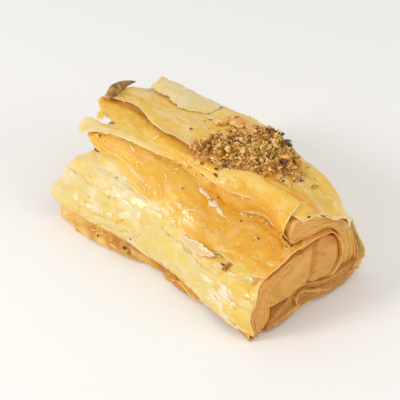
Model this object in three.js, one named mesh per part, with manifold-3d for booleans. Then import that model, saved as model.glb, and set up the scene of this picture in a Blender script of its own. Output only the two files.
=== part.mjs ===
// A piece of folded, flaky phyllo pastry with a smooth filling, chopped nuts on top and one long
// pistachio kernel. Millimetres, +Z up, +X along the piece towards the cut end that shows the filling,
// -Y towards the open side where the leaves fan out. The origin is the centre of the flat base.
import * as THREE from "three";
import { mergeVertices } from "three/addons/utils/BufferGeometryUtils.js";
import Module from "manifold-3d";

const wasm = await Module();
wasm.setup();

// ---------- driving dimensions ----------
const LENGTH = 80; // along X, cut end to cut end
const HALF_WIDTH = 22.5; // from the middle to the far wall
const TOP_HEIGHT = 31.5; // crest of the top fold above the plate
const WAIST = 3; // how far the open side draws in at mid length
const FIT_GAP = 0.3; // clearance between the pastry and what it holds

const STATIONS = 30; // slices along the length
const RING_POINTS = 48; // points round a slice of the loaf
const LEAF_STEPS = 26; // slices along a leaf
const LEAF_ROWS = 4; // strips between a leaf's root and its edge
const FILLING_STEPS = 12; // slices along the filling
const FILLING_POINTS = 30; // points round a slice of the filling

// ---------- small helpers ----------
const mix = (a, b, t) => a + (b - a) * t;
const mixPoint = (a, b, t) => a.map((value, axis) => mix(value, b[axis], t));
const bump = (x, centre, spread) => Math.exp(-(((x - centre) / spread) ** 2));
const smooth = (t) => t * t * (3 - 2 * t);
const evenly = (count, from, to) => Array.from({ length: count + 1 }, (_, k) => mix(from, to, k / count));
const turn = (count) => Array.from({ length: count }, (_, k) => (2 * Math.PI * k) / count);

// A smooth line through a few hand-set points, read by its share along.
function line(...points) {
  return new THREE.CatmullRomCurve3(points.map((p) => new THREE.Vector3(...p)), false, "centripetal");
}

// A smooth closed outline through [y, z] corners, placed at x.
function outline(x, corners, count) {
  const at = corners.map(([y, z]) => new THREE.Vector3(x, y, z));
  const curve = new THREE.CatmullRomCurve3(at, true, "centripetal");
  return curve.getSpacedPoints(count).slice(0, count).map((p) => p.toArray());
}

// A closed body through rings of equally many points, each counter-clockwise seen from ahead of it.
// spread names the two axes in which the end rings lie.
function loft(rings, spread = [1, 2]) {
  const count = rings[0].length;
  const index = [];
  for (let r = 0; r + 1 < rings.length; r += 1) {
    for (let k = 0; k < count; k += 1) {
      const here = r * count + k;
      const next = r * count + ((k + 1) % count);
      index.push(here, next, here + count, next, next + count, here + count);
    }
  }
  const last = (rings.length - 1) * count;
  const flatten = (ring) => ring.map((p) => new THREE.Vector2(p[spread[0]], p[spread[1]]));
  const capOf = (ring) => THREE.ShapeUtils.triangulateShape(flatten(ring), []);
  for (const [a, b, c] of capOf(rings[0])) index.push(c, b, a);
  for (const [a, b, c] of capOf(rings.at(-1))) index.push(last + a, last + b, last + c);
  return toManifold(rings.flat(2), index);
}

function toManifold(positions, index) {
  const geometry = new THREE.BufferGeometry();
  geometry.setAttribute("position", new THREE.Float32BufferAttribute(positions, 3));
  geometry.setIndex(index);
  const merged = mergeVertices(geometry, 1e-4);
  return new wasm.Manifold(
    new wasm.Mesh({
      numProp: 3,
      vertProperties: new Float32Array(merged.getAttribute("position").array),
      triVerts: new Uint32Array(merged.index.array),
    }),
  );
}

function toGeometry(manifold) {
  const mesh = manifold.getMesh();
  const geometry = new THREE.BufferGeometry();
  geometry.setAttribute("position", new THREE.BufferAttribute(mesh.vertProperties, 3));
  geometry.setIndex(new THREE.BufferAttribute(mesh.triVerts, 1));
  return geometry;
}

// ---------- the loaf: the folded stack inside the leaves ----------
// The named points of a slice, each as one [y, z] for each place along the length.
const PLACES = [-40, -20, 0, 20, 40];
const FAR = HALF_WIDTH;
const SLICE = {
  foot: [[-22, 0.7], [-22, 0.7], [-22.5, 0.7], [-21.5, 0.7], [-22.5, 0.7]],
  toe: [[-22, 3.4], [-21, 3.4], [-21.6, 3.4], [-20.6, 3.4], [-22, 3.4]],
  side: [[-25.5, 9.5], [-22.3, 9], [-22.2, 9], [-21.5, 8], [-24, 9]],
  upperSide: [[-22.5, 14], [-20, 15], [-20, 13.8], [-19.8, 11.5], [-22.3, 13.8]],
  shoulder: [[-19, 17], [-18.5, 17.5], [-18.5, 16.5], [-18.5, 14], [-18.5, 17.6]],
  crease: [[-8, 18.8], [-14, 21.5], [-14, 20], [-9, 16.8], [-10, 19.2]],
  under: [[-4, 25], [-9, 25], [-9, 25.5], [-2.5, 20.5], [-2.5, 22.5]],
  lip: [[-3.6, 29], [-6, 28.3], [-7, 28], [-2.4, 26.5], [-4.5, 27]],
  crest: [[0, TOP_HEIGHT], [-1.5, TOP_HEIGHT], [-3, 31], [2, TOP_HEIGHT], [-0.5, 30.4]],
  middle: [[9, 31], [9, 32], [8.5, 31.8], [9.5, 31.6], [6, 28.8]],
  ridge: [[18.5, 31.4], [19.5, 31], [20.3, 30.6], [17.4, 29.6], [10.5, 26]],
  haunch: [[21.4, 24], [22.4, 24], [22.7, 24], [20.6, 23.5], [15.8, 20.8]],
  wall: [[FAR - 0.5, 12], [FAR, 12], [FAR, 12], [FAR - 0.3, 12], [FAR - 2.3, 12]],
  heel: [[FAR - 0.5, 4.5], [FAR, 4.5], [FAR, 4.5], [FAR, 4.5], [FAR, 4.5]],
};
const FLAT_CORNERS = [[FAR - 2, 0.7], [FAR - 6, 0], [0, 0], [-HALF_WIDTH + 5, 0]];
const NEAR_SIDE = ["foot", "toe", "side", "upperSide", "shoulder"]; // drawn in at the waist

const waist = (x) => WAIST * bump(x, -2, 12);

// The slice's named points at x, eased between the two nearest places.
function slicePoint(name, x) {
  const after = Math.max(1, PLACES.findIndex((place) => place >= x));
  const [from, to] = [PLACES[after - 1], PLACES[after]];
  const [y, z] = mixPoint(SLICE[name][after - 1], SLICE[name][after], smooth((x - from) / (to - from)));
  return [NEAR_SIDE.includes(name) ? y + waist(x) : y, z];
}

function loafRing(x) {
  const corners = [...Object.keys(SLICE).map((name) => slicePoint(name, x)), ...FLAT_CORNERS];
  return outline(x, corners.reverse(), RING_POINTS).map(([, y, z]) => [x, y, Math.max(0, z)]);
}

// ---------- the leaves: stiff sheets that stand out of the open side ----------
// A sheet between a root line inside the loaf and a free, wavy edge, thinner than the root. crown
// lifts the middle of the sheet.
function leaf({ root, edge, thick, crown, wave }) {
  const rings = evenly(LEAF_STEPS, 0, 1).map((t) => {
    const from = root.getPoint(t);
    const to = edge.getPoint(t);
    to.y += wave * Math.sin(t * 31) * Math.cos(t * 13 + 1);
    to.z += 0.5 * wave * Math.sin(t * 23 + 2);
    const rows = evenly(LEAF_ROWS, 0, 1).map((u) => {
      const middle = from.clone().lerp(to, u);
      middle.z += crown * Math.sin(Math.PI * u);
      return { middle, half: (thick * mix(1, 0.55, u)) / 2 };
    });
    const upper = rows.map(({ middle, half }) => [middle.x, middle.y, middle.z + half]);
    const lower = rows.map(({ middle, half }) => [middle.x, middle.y, middle.z - half]);
    return [...lower.reverse(), ...upper];
  });
  return loft(rings);
}

// Open like a lip at the far end of the piece, lying on the side at the cut end.
const lowestLeaf = {
  edge: line([-41, -14, 27], [-30, -15, 22.5], [-16, -18, 18.5], [0, -19, 15], [20, -19, 15], [38, -19, 18]),
  root: line([-39, 0, 23], [0, 0, 19], [38, 2, 21]),
  thick: 1.6,
  crown: 0.8,
  wave: 0.6,
};
// Runs down the middle of the open side.
const secondLeaf = {
  edge: line([-40, -9.5, 29], [-28, -10, 28.5], [-10, -10.5, 27], [8, -11, 25], [24, -8, 21.5]),
  root: line([-39, 4, 25], [0, 2, 25], [24, 4, 22]),
  thick: 1.4,
  crown: 1,
  wave: 0.5,
};
// Carries the top sheet's edge, with its corner lifted under the kernel.
const thirdLeaf = {
  edge: line([-40.5, -6.5, 34], [-34, -3.5, 32.5], [-15, -3.5, 31.6], [0, -5, 30.5], [12, -3, 30]),
  root: line([-40.5, 10, 30.5], [0, 8, 30], [12, 8, 30]),
  thick: 1.3,
  crown: 0.9,
  wave: 0.4,
};
// The top sheets rolled over the open side at the cut end.
const topFold = {
  edge: line([13, -1, 22.5], [22, -3.2, 23.5], [30, -5, 24.5], [37.5, -7.8, 27.2]),
  root: line([13, 5, 30], [24, 4.5, 30.4], [37.5, 3.5, 29.4]),
  thick: 2.6,
  crown: 4.2,
  wave: 0.3,
};
const leaves = [lowestLeaf, secondLeaf, thirdLeaf, topFold].map(leaf);

// ---------- the filling: a flattened roll that runs through the piece ----------
const FILLING_INSET = 1.9; // pastry between the filling and the open side
const FILLING_MIDDLE = [-4, 12]; // the tunnel is the filling's outline spread from here

function fillingRing(x, gap) {
  const inside = THREE.MathUtils.clamp(x, PLACES[0], PLACES.at(-1));
  const near = slicePoint("side", inside)[0] + FILLING_INSET;
  const sag = 1.6 * bump(x, 8, 16); // the roll is lowest where the side is
  const corners = [
    [near, 8],
    [near + 1.6, 12.2 - sag],
    [-15, 13.8 - sag],
    [-7, 16 - sag],
    [1.7, 19.3 - sag],
    [6.5, 19.8 - sag],
    [11, 17.2 - sag],
    [12.6, 12],
    [12, 7],
    [8.5, 5.6],
    [3.5, 7.4],
    [-2, 9],
    [-8, 7.2],
    [-14, 5.8],
    [near + 2, 4.9],
  ];
  const spread = corners.map(([y, z]) => {
    const [dy, dz] = [y - FILLING_MIDDLE[0], z - FILLING_MIDDLE[1]];
    const reach = Math.hypot(dy, dz);
    return [y + (gap * dy) / reach, z + (1.6 * gap * dz) / reach];
  });
  return outline(x, spread.reverse(), FILLING_POINTS);
}

const runThrough = (reach, gap) => evenly(FILLING_STEPS, -reach, reach).map((x) => fillingRing(x, gap));
const filling = loft(runThrough(LENGTH / 2 - 0.5, 0));
const tunnel = loft(runThrough(LENGTH / 2 + 4, 2 * FIT_GAP)); // past both cut ends
const pastry = [loft(evenly(STATIONS, -LENGTH / 2, LENGTH / 2).map(loafRing)), ...leaves]
  .reduce((whole, one) => whole.add(one))
  .subtract(tunnel);

// ---------- the chopped nuts: one low heap on the top ----------
const HEAP = { x: 7, y: 9.6, long: 18, near: 12, far: 13, high: 3.6, levels: 5, sides: 30 };
const HEAP_SUNK = [1.6, 5]; // below the crest at the near and the far side, where the top falls away

// Rings that close in towards the top, with an uneven outline.
function nutHeap() {
  const rings = evenly(HEAP.levels, 0, 1).map((up) => {
    const reach = Math.cos(0.94 * up * Math.PI * 0.5) ** 0.7;
    return turn(HEAP.sides).map((angle) => {
      const uneven = reach * (1 + 0.08 * Math.sin(3 * angle + 1) + 0.05 * Math.sin(7 * angle + 5 * up));
      const across = Math.sin(angle) * (angle > Math.PI ? HEAP.near : HEAP.far);
      const sunk = mix(...HEAP_SUNK, (1 + Math.sin(angle)) / 2);
      return [
        HEAP.x + HEAP.long * uneven * Math.cos(angle),
        HEAP.y + uneven * across,
        TOP_HEIGHT + mix(-sunk, HEAP.high, up),
      ];
    });
  });
  return loft(rings, [0, 1]);
}

// ---------- the pistachio kernel: a long split half on the corner of the third leaf ----------
const KERNEL = { x: -38.6, y: 1.9, z: 34.1, long: 12.5, wide: 4.4, high: 3.4, turned: 97, tipped: 3 };

function kernel() {
  const rings = evenly(14, 0, 1).map((t) => {
    const taper = Math.sin(Math.PI * mix(0.03, 0.97, t)) ** 0.75;
    const bow = 1.1 * Math.sin(Math.PI * t);
    return turn(12).map((angle) => {
      const flatter = Math.sin(angle) < 0 ? 0.55 : 1;
      return [
        (t - 0.5) * KERNEL.long,
        0.5 * KERNEL.wide * taper * Math.cos(angle),
        bow + 0.5 * KERNEL.high * taper * flatter * Math.sin(angle),
      ];
    });
  });
  return loft(rings).rotate([0, KERNEL.tipped, KERNEL.turned]).translate([KERNEL.x, KERNEL.y, KERNEL.z]);
}

// The pastry swept up by the clearance and down past anything that dips into it.
const seat = pastry.add(pastry.translate([0, 0, FIT_GAP])).add(pastry.translate([0, 0, -3]));
const heap = nutHeap().subtract(seat);
const pistachio = kernel().subtract(seat);

// ---------- the group ----------
function piece(name, manifold, color, roughness) {
  const material = new THREE.MeshStandardMaterial({ color, roughness, metalness: 0 });
  const mesh = new THREE.Mesh(toGeometry(manifold), material);
  mesh.name = name;
  return mesh;
}

const group = new THREE.Group();
group.add(
  piece("pastry", pastry, 0xe5b451, 0.4),
  piece("filling", filling, 0xcd9650, 0.55),
  piece("nut_heap", heap, 0xab6e28, 0.8),
  piece("pistachio_kernel", pistachio, 0x8a6a34, 0.7),
);

export default group;
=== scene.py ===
"""A folded baklava piece: thin syrup-soaked phyllo sheets round a cream filling, with chopped nuts on top."""

import math

import bmesh
import bpy
import numpy as np
from mathutils import Matrix, Vector


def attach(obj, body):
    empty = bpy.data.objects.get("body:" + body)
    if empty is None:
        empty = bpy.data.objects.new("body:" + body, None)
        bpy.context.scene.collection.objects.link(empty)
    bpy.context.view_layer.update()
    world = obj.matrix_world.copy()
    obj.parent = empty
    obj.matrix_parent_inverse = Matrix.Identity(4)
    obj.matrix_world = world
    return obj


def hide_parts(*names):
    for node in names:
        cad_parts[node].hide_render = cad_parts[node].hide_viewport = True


bl_info = {
    "name": "Baklava Piece",
    "version": (1, 0, 0),
    "blender": (4, 5, 0),
    "location": "3D Viewport > Sidebar > Baklava",
    "description": "Lays thin pastry sheets, a cream filling and chopped nuts over a packed baklava frame",
    "category": "Add Mesh",
}

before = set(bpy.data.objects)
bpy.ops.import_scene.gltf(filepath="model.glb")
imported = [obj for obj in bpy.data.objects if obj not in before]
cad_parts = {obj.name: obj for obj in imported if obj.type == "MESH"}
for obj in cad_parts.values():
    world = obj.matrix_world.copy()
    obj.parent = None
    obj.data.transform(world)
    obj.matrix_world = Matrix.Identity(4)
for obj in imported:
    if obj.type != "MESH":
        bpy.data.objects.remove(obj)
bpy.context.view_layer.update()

MM = 0.001
BODY = "root"
PER_SQUARE_CM = 10000.0

# In millimetres: the middle of the section, the sheets' unit of texture, and the gaps kept over the floor.
SECTION_CENTRE = np.array([0.0, 3.0, 13.0])
UV_MM = 10.0
FLOOR_GAP = 0.04
CORE_GAP = 0.3

# Lines along the piece, in millimetres as (x, y, z), left to right. Every sheet is laid over some of them.
FOOT = [
    (-42, -22, 0.5), (-36.5, -23.2, 0.4), (-30, -23.8, 0.4), (-24, -23.8, 0.4), (-17, -22.8, 0.4),
    (-10, -22, 0.4), (-2, -19.9, 0.4), (6, -20.3, 0.4), (14, -21.4, 0.4), (24, -21.2, 0.4),
    (33, -22, 0.4), (40, -22.4, 0.5),
]
HEM = [
    (-42.4, -22.9, 5.6), (-38, -23, 5), (-30, -22.8, 5.2), (-20, -21.8, 4.6), (-11, -20.5, 3.8),
    (-4, -19.6, 1.8), (4, -19.5, 1.2), (20, -21.3, 0.9), (40, -22.3, 0.9),
]
TOE = [(-40.6, -23, 3.4), (-20, -21.2, 3.4), (-2, -18.8, 3.4), (20, -20.8, 3.2), (40.3, -22, 3.2)]
SIDE = [
    (-43.4, -23.4, 8.3), (-36, -24.2, 9), (-20, -22.3, 9), (-2, -19.4, 9), (20, -21.4, 8), (40.5, -24, 9),
]
UPPER = [
    (-43.2, -20.2, 12.4), (-20, -20.4, 14.5), (-2, -17.9, 13), (20, -19.8, 11.2), (40.3, -22.3, 13.6),
]
SHOULDER = [(-43, -16.6, 16.6), (-20, -17.5, 18.3), (0, -16, 17), (20, -17.6, 13.8), (39.6, -18.5, 17.6)]
UNDER = [
    (-40.5, -12.6, 17), (-36, -11, 21.2), (-30, -11.6, 22.2), (-20, -12.5, 21.8), (0, -12, 20.7),
    (20, -10, 16.8), (39, -10, 19),
]
LOWER_EDGE = [
    (-37.2, -13.4, 26.4), (-35.3, -13.8, 25), (-33.4, -13.8, 23.2), (-31, -13.2, 21.9), (-27, -12.8, 21),
    (-22, -13.4, 20.2), (-15, -16.4, 19), (-8, -16.9, 18), (0, -16.9, 16.8), (8, -18.4, 15.2),
    (16, -18.5, 14.4), (21.5, -15.8, 15), (26, -17, 15), (30, -17.2, 14.8), (35, -18, 16.4),
    (38.5, -18.8, 18.4), (40.6, -19.4, 20),
]
RAMP = [
    (-37.3, -12.9, 27.1), (-30, -12.4, 25.5), (-20, -11.8, 24.6), (-10, -12.2, 23.6), (0, -11.6, 22.4),
    (10, -12.4, 20.4), (20, -10.8, 18.6), (30, -10, 18.8), (36, -12, 19.6), (40.6, -12.8, 20.9),
]
CREASE = [
    (-37.3, -12.2, 27.5), (-30, -9.8, 27.7), (-20, -7.8, 27.6), (-10, -5.8, 27.2), (0, -4.6, 26),
    (10, -4.8, 23.4), (20, -2.8, 21.8), (27, -1.4, 21.4), (34, -3, 21.4), (38, -5.2, 22),
    (40.6, -6.4, 22.5),
]
MIDDLE_EDGE = [
    (-37.2, -16.4, 28.7), (-35.4, -14.2, 28.5), (-31.5, -11.8, 28.5), (-24.7, -9.3, 28.2),
    (-15.7, -7.8, 28), (-7.5, -5.9, 27.8), (0.3, -5.5, 26.5), (4.7, -5.9, 25.5), (9.9, -5.8, 24),
    (18.2, -4.3, 22.5), (23.6, -1.2, 22), (28, -1.8, 21.5), (37, -4.6, 21),
]
MIDDLE_TOP = [
    (-41.2, -6, 33.9), (-38, -4.6, 33.1), (-32, -1.7, 31.4), (-26, -1.8, 30.8), (-20, -3.2, 30.8),
    (-12, -3.8, 31), (0, -3.9, 31), (12, -3, 30.8), (22, 0.4, 31), (35, -1.2, 30.4),
]
MIDDLE_ROOT = [
    (-41, 0.5, 32.6), (-37, 1.5, 32), (-30, 3, 30.8), (-20, 2.5, 30.4), (-8, 2.2, 30.8), (6, 1.5, 30.8),
    (35, 3, 29.4),
]
TOP_EDGE = [
    (-40, -5.6, 34.1), (-38.4, -4.4, 33.9), (-35.4, -2.2, 33.4), (-32.2, -0.1, 33), (-27.3, -0.2, 32.2),
    (-21.2, -1.9, 32), (-14.7, -2.7, 32), (-9.9, -2.2, 32), (-4.6, -2.5, 32), (-0.1, -2.9, 32),
    (6.5, -2.6, 31.6), (12.7, 0.2, 31.2), (17.9, 2.6, 31), (22.6, 3, 31), (27, 2, 30.8), (31, 0.6, 30),
    (36.6, -3, 29),
]
TOP_INSIDE = [
    (-40.2, -0.5, 34), (-36, 2.2, 33.2), (-30, 4, 32.4), (-20, 3.6, 32), (-5, 3.4, 31.9), (8, 3.6, 31.6),
    (20, 6, 31.3), (30, 4, 31), (36, 2, 30.6), (40.2, -0.4, 29.4),
]
FOLD_CREST = [
    (6, -2.4, 32), (12, -0.6, 32.3), (17.2, 1.6, 32.6), (22, 1, 32.6), (28, 0.7, 32.7), (32, 0.4, 32.9),
    (36.2, -0.2, 33.1),
]
FOLD_NOSE = [
    (6, -4.6, 30.4), (12, -4.2, 30), (17.5, -2, 29.9), (22, -1.6, 29.4), (28, -2.4, 28.6),
    (32, -4.4, 27.8), (36, -6.6, 27),
]
FOLD_EDGE = [
    (6, -5.4, 28.8), (12, -5.2, 27.6), (17, -2.8, 26.6), (22, -1, 25.4), (28, -1.4, 24), (32, -3.2, 23.8),
    (36.8, -6, 24.4),
]
FOLD_UNDER = [
    (6, -2, 26.5), (12, -1.5, 25.8), (17, 0.5, 25), (22, 2.6, 24), (28, 2, 22.8), (32, 0, 22.4),
    (38, -4.4, 22.6),
]
BREAST = [(-38, -10, 31), (-25, -4.5, 30.2), (-10, -4, 30), (0, -4.2, 29.4)] + FOLD_NOSE[1:]
MIDDLE = [
    (-39.2, 5.4, 33.6), (-36, 6.6, 32.8), (-28, 8.4, 32), (-20, 9, 31.8), (0, 9, 31.6), (20, 9.5, 31.3),
    (32, 7, 30.6), (37, 6, 29.2), (40.6, 5.4, 27.4),
]
DIP = [
    (-38.6, 12, 30.6), (-30, 12.6, 31.2), (-20, 13.5, 31.5), (0, 14, 31.7), (20, 13.8, 31),
    (33, 10.6, 29.8), (38, 9, 28), (41.4, 8.2, 25.4),
]
RIDGE = [
    (-38.6, 17.6, 32.2), (-31.5, 19, 31.6), (-20, 20, 31), (-4, 21.6, 31.2), (6, 21.4, 31),
    (20, 18.4, 29.8), (30, 16.4, 29.4), (37, 14.2, 27.4), (41.4, 12.2, 23.8),
]
BACK_EDGE = [
    (-38.6, 13.4, 31.4), (-36, 10.4, 32.3), (-30.7, 8.4, 32.5), (-25.4, 7.6, 32.5), (-20, 9, 32.3),
    (-13, 12.5, 32.1),
]
HAUNCH = [(-40, 21.4, 24), (-20, 22.4, 24), (0, 22.7, 24), (20, 20.6, 23.5), (40, 15.8, 20.8)]
WALL = [(-40, 22, 12), (0, 22.5, 12), (20, 22.2, 12), (40, 20.4, 12)]
HEEL = [(-40, 22, 4.5), (0, 22.5, 4.5), (40, 22.6, 4.5)]
BASE_FAR = [(-40, 19.5, 0.4), (0, 20, 0.4), (40, 19, 0.5)]
BASE_MID = [(-40, 0, 0.4), (0, 0, 0.4), (40, -2, 0.4)]

# The filling's outline at the cut, as (y, z), from its near side over its top and back underneath. Its top
# sags a little near the middle, and its near points follow the SIDE line.
FILLING_CUT = [
    (-15.6, 9), (-15, 12.2), (-12.4, 14.6), (-7, 16.8), (1.7, 20.2), (6.5, 20.6), (10.6, 18), (12.4, 12.6),
    (11.8, 7.8), (8.5, 6.4), (3.5, 7.6), (-2, 9.2), (-8, 9), (-12, 8), (-15, 7.4),
]
FILLING_TOP = 6
FILLING_SAG = 1.6
FILLING_NEAR = -14.9
FILLING_SPAN = (-39.2, 39.4)

# The heights over which the fold's end draws back at the right cut.
FOLD_LOW, FOLD_HIGH = 22.5, 25

# The core: where it starts and ends, where it ends inside the fold, how far it keeps inside the sheets, how
# far outside the filling, and how long its texture is round the section.
CORE_SPAN = (-33.5, 38.4)
CORE_FOLD_END = 35.6
CORE_INSET = 1.2
TUNNEL_GAP = 0.3
CORE_AROUND = 120

# How far apart, in millimetres, sheets with neighbouring tear seeds take their texture.
TEXTURE_SHIFT = 37.0


# ---------------------------------------------------------------- noise and curves


def hashed(i, j, seed):
    """A number from 0 to 1 for each lattice corner."""
    h = (i * 374761393 + j * 668265263 + seed * 97463477) & 0xFFFFFFFF
    h = ((h ^ (h >> 13)) * 1274126177) & 0xFFFFFFFF
    return ((h ^ (h >> 16)) & 0xFFFF) / 65535.0


def noise(u, v, seed):
    """Smooth gradient noise of about -1 to 1 over two coordinates."""
    iu = np.floor(u).astype(np.int64)
    iv = np.floor(v).astype(np.int64)
    fu = u - iu
    fv = v - iv
    total = 0
    wu = fu * fu * fu * (fu * (fu * 6 - 15) + 10)
    wv = fv * fv * fv * (fv * (fv * 6 - 15) + 10)
    for a in (0, 1):
        for b in (0, 1):
            turn = 2 * math.pi * hashed(iu + a, iv + b, seed)
            slope = np.cos(turn) * (fu - a) + np.sin(turn) * (fv - b)
            total = total + slope * (wu if a else 1 - wu) * (wv if b else 1 - wv)
    return 1.5 * total


def ragged(q, seed):
    """Straight runs between random heights of 0 to 1, as a torn edge has."""
    i = np.floor(q).astype(np.int64)
    near = hashed(i, 0 * i, seed)
    far = hashed(i + 1, 0 * i, seed)
    return near + (far - near) * (q - i)


# A torn edge's runs, as pairs of a length in millimetres and a share of the depth.
TEAR_SCALES = ((9.0, 0.42), (3.3, 0.26), (1.3, 0.18), (0.6, 0.14))
SCRAP_SCALES = ((2.4, 0.3), (0.9, 0.4), (0.45, 0.3))


def torn(along, depth, seed, scales):
    """How far a torn edge draws back, in millimetres."""
    back = sum(share * ragged(along / pitch, seed + 31 * n) for n, (pitch, share) in enumerate(scales))
    return depth * np.clip(back, 0, None)


def step(low, high, value):
    """0 below low, 1 above high and smooth between."""
    t = np.clip((value - low) / (high - low), 0, 1)
    return t * t * (3 - 2 * t)


def smooth(knots, values, at):
    """A smooth curve through values, which run along their first axis."""
    knots = np.asarray(knots, float)
    values = np.asarray(values, float)
    slopes = np.gradient(values, knots, axis=0) if len(knots) > 2 else np.zeros_like(values)
    if len(knots) == 2:
        slopes[:] = (values[1] - values[0]) / (knots[1] - knots[0])
    i = np.clip(np.searchsorted(knots, at, side="right") - 1, 0, len(knots) - 2)
    wide = knots[i + 1] - knots[i]
    t = (at - knots[i]) / wide
    shape = (-1,) + (1,) * (values.ndim - 1)
    t = t.reshape(shape)
    wide = wide.reshape(shape)
    return (
        values[i] * (2 * t**3 - 3 * t**2 + 1)
        + slopes[i] * wide * (t**3 - 2 * t**2 + t)
        + values[i + 1] * (3 * t**2 - 2 * t**3)
        + slopes[i + 1] * wide * (t**3 - t**2)
    )


def line(row, count, span=None):
    """count points along a row of (x, y, z).

    They are spaced evenly in x over a span, or evenly along the row without one.
    """
    row = np.asarray(row, float)
    if span is None:
        far = np.concatenate([[0], np.cumsum(np.linalg.norm(np.diff(row, axis=0), axis=1))])
        return smooth(far, row, np.linspace(0, far[-1], count))
    x = np.linspace(*span, count)
    inside = np.clip(x, row[0, 0], row[-1, 0])
    return np.column_stack([x, smooth(row[:, 0], row[:, 1:], inside)])


ROW_POINTS = 15


def between(a, b, share, bulge=0.0, span=None):
    """A row between two rows, pushed out from the section's centre by bulge."""
    pa = line(a, ROW_POINTS, span)
    pb = line(b, ROW_POINTS, span)
    row = pa + (pb - pa) * share
    return drawn_in([row], -bulge)[0]


def drawn_in(rows, inset):
    """Rows drawn towards the section's centre by inset."""
    moved = []
    for row in rows:
        row = np.array(row, float)
        inward = SECTION_CENTRE - row
        inward[:, 0] = 0
        inward /= np.linalg.norm(inward, axis=1, keepdims=True)
        moved.append(row + inward * inset)
    return moved


def shifted(row, dx=0.0, dy=0.0, dz=0.0):
    return [(x + dx, y + dy, z + dz) for x, y, z in row]


def cornered(row):
    """A row of the near side carried a little round the corner of the right cut."""
    x, y, z = row[-1]
    return row[:-1] + [(38.2, y, z), (39.8, y + 0.4, z), (40.5, y + 1.6, z)]


GRID_ALONG, GRID_ACROSS = 320, 40


def surface(rows, span=None):
    """A dense grid of points, row by row across and left to right along."""
    lines = np.array([line(row, GRID_ALONG, span) for row in rows])
    chord = np.linalg.norm(np.diff(lines, axis=0), axis=2).mean(axis=1)
    knots = np.concatenate([[0], np.cumsum(chord)])
    return smooth(knots, lines, np.linspace(0, knots[-1], GRID_ACROSS * len(rows)))


def sampled(grid, s, t):
    """Points of a dense grid at fractions s across and t along."""
    fs = np.clip(s, 0, 1) * (grid.shape[0] - 1)
    ft = np.clip(t, 0, 1) * (grid.shape[1] - 1)
    i = np.minimum(fs.astype(int), grid.shape[0] - 2)
    j = np.minimum(ft.astype(int), grid.shape[1] - 2)
    a = (fs - i)[..., None]
    b = (ft - j)[..., None]
    return (
        grid[i, j] * (1 - a) * (1 - b)
        + grid[i + 1, j] * a * (1 - b)
        + grid[i, j + 1] * (1 - a) * b
        + grid[i + 1, j + 1] * a * b
    )


# ---------------------------------------------------------------- meshes


FLIPPED = [0, 3, 2, 1]


def quads(rows, columns, start=0, ringed=(False, False)):
    """The faces of a grid of points numbered row by row, which may be ringed across and along."""
    i, j = np.meshgrid(np.arange(rows - (not ringed[0])), np.arange(columns - (not ringed[1])), indexing="ij")
    down = (i + 1) % rows
    right = (j + 1) % columns
    corners = [i * columns + j, i * columns + right, down * columns + right, down * columns + j]
    return start + np.stack(corners, axis=-1).reshape(-1, 4)


def slab(rows, columns, turned=False):
    """The faces of a closed slab: a grid, the same grid under it, and the rim between them."""
    count = rows * columns
    index = np.arange(count).reshape(rows, columns)
    around = np.concatenate([index[0, :], index[1:, -1], index[-1, -2::-1], index[-2:0:-1, 0]])
    nxt = np.roll(around, -1)
    rim = np.stack([nxt, nxt + count, around + count, around], axis=-1)
    faces = [quads(rows, columns)[:, ::-1], quads(rows, columns, count), rim]
    return np.concatenate([face[:, ::-1] for face in faces] if turned else faces)


def fan(ring, pole, turned):
    """The triangles that close a ring of points at its pole."""
    triangles = np.column_stack([ring, np.full(len(ring), pole), np.roll(ring, -1)])
    return (triangles[:, ::-1] if turned else triangles).tolist()


def added(name, data):
    """A new object in the scene."""
    obj = bpy.data.objects.new(name, data)
    bpy.context.scene.collection.objects.link(obj)
    return obj


def marked(mesh, marks):
    """Gives a mesh named numbers, one for each point."""
    for title, values in marks.items():
        layer = mesh.attributes.new(title, "FLOAT", "POINT")
        layer.data.foreach_set("value", np.asarray(values, np.float32).ravel())


def mesh_object(name, points, faces, marks=None, uv=None):
    """A smooth mesh object of quads, from arrays in millimetres."""
    mesh = bpy.data.meshes.new(name)
    mesh.vertices.add(len(points))
    mesh.vertices.foreach_set("co", (points * MM).astype(np.float32).ravel())
    mesh.loops.add(faces.size)
    mesh.loops.foreach_set("vertex_index", faces.ravel().astype(np.int32))
    mesh.polygons.add(len(faces))
    mesh.polygons.foreach_set("loop_start", np.arange(0, faces.size, 4, dtype=np.int32))
    mesh.polygons.foreach_set("use_smooth", np.ones(len(faces), bool))
    marked(mesh, marks or {})
    if uv is not None:
        layer = mesh.uv_layers.new(name="sheet")
        layer.data.foreach_set("uv", (uv[faces.ravel()] / UV_MM).astype(np.float32).ravel())
    mesh.update(calc_edges=True)
    mesh.validate()
    return added(name, mesh)


def capped_object(name, points, faces, fans, marks=None):
    """A smooth mesh object of quads closed by triangles, from arrays in millimetres."""
    mesh = bpy.data.meshes.new(name)
    mesh.from_pydata((points * MM).tolist(), [], faces.tolist() + fans)
    mesh.polygons.foreach_set("use_smooth", np.ones(len(mesh.polygons), bool))
    marked(mesh, marks or {})
    mesh.validate()
    return added(name, mesh)


def joined(name, parts):
    """One object from several, which are used up."""
    with bpy.context.temp_override(active_object=parts[0], selected_editable_objects=parts):
        bpy.ops.object.join()
    parts[0].name = name
    parts[0].data.name = name
    return parts[0]


def placed(obj, material, solid=None):
    """Gives a finished piece its material and its body, and hides the solid it stands for."""
    obj.data.materials.clear()
    obj.data.materials.append(material)
    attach(obj, BODY)
    if solid:
        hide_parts(solid)


# ---------------------------------------------------------------- sheets


# The first and last shares across and along that a sheet keeps of its rows, and where it is widest.
WHOLE = (0, 1, 0, 1, 0.5)
NO_BITE = ((0, 0), (1, 0))


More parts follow.
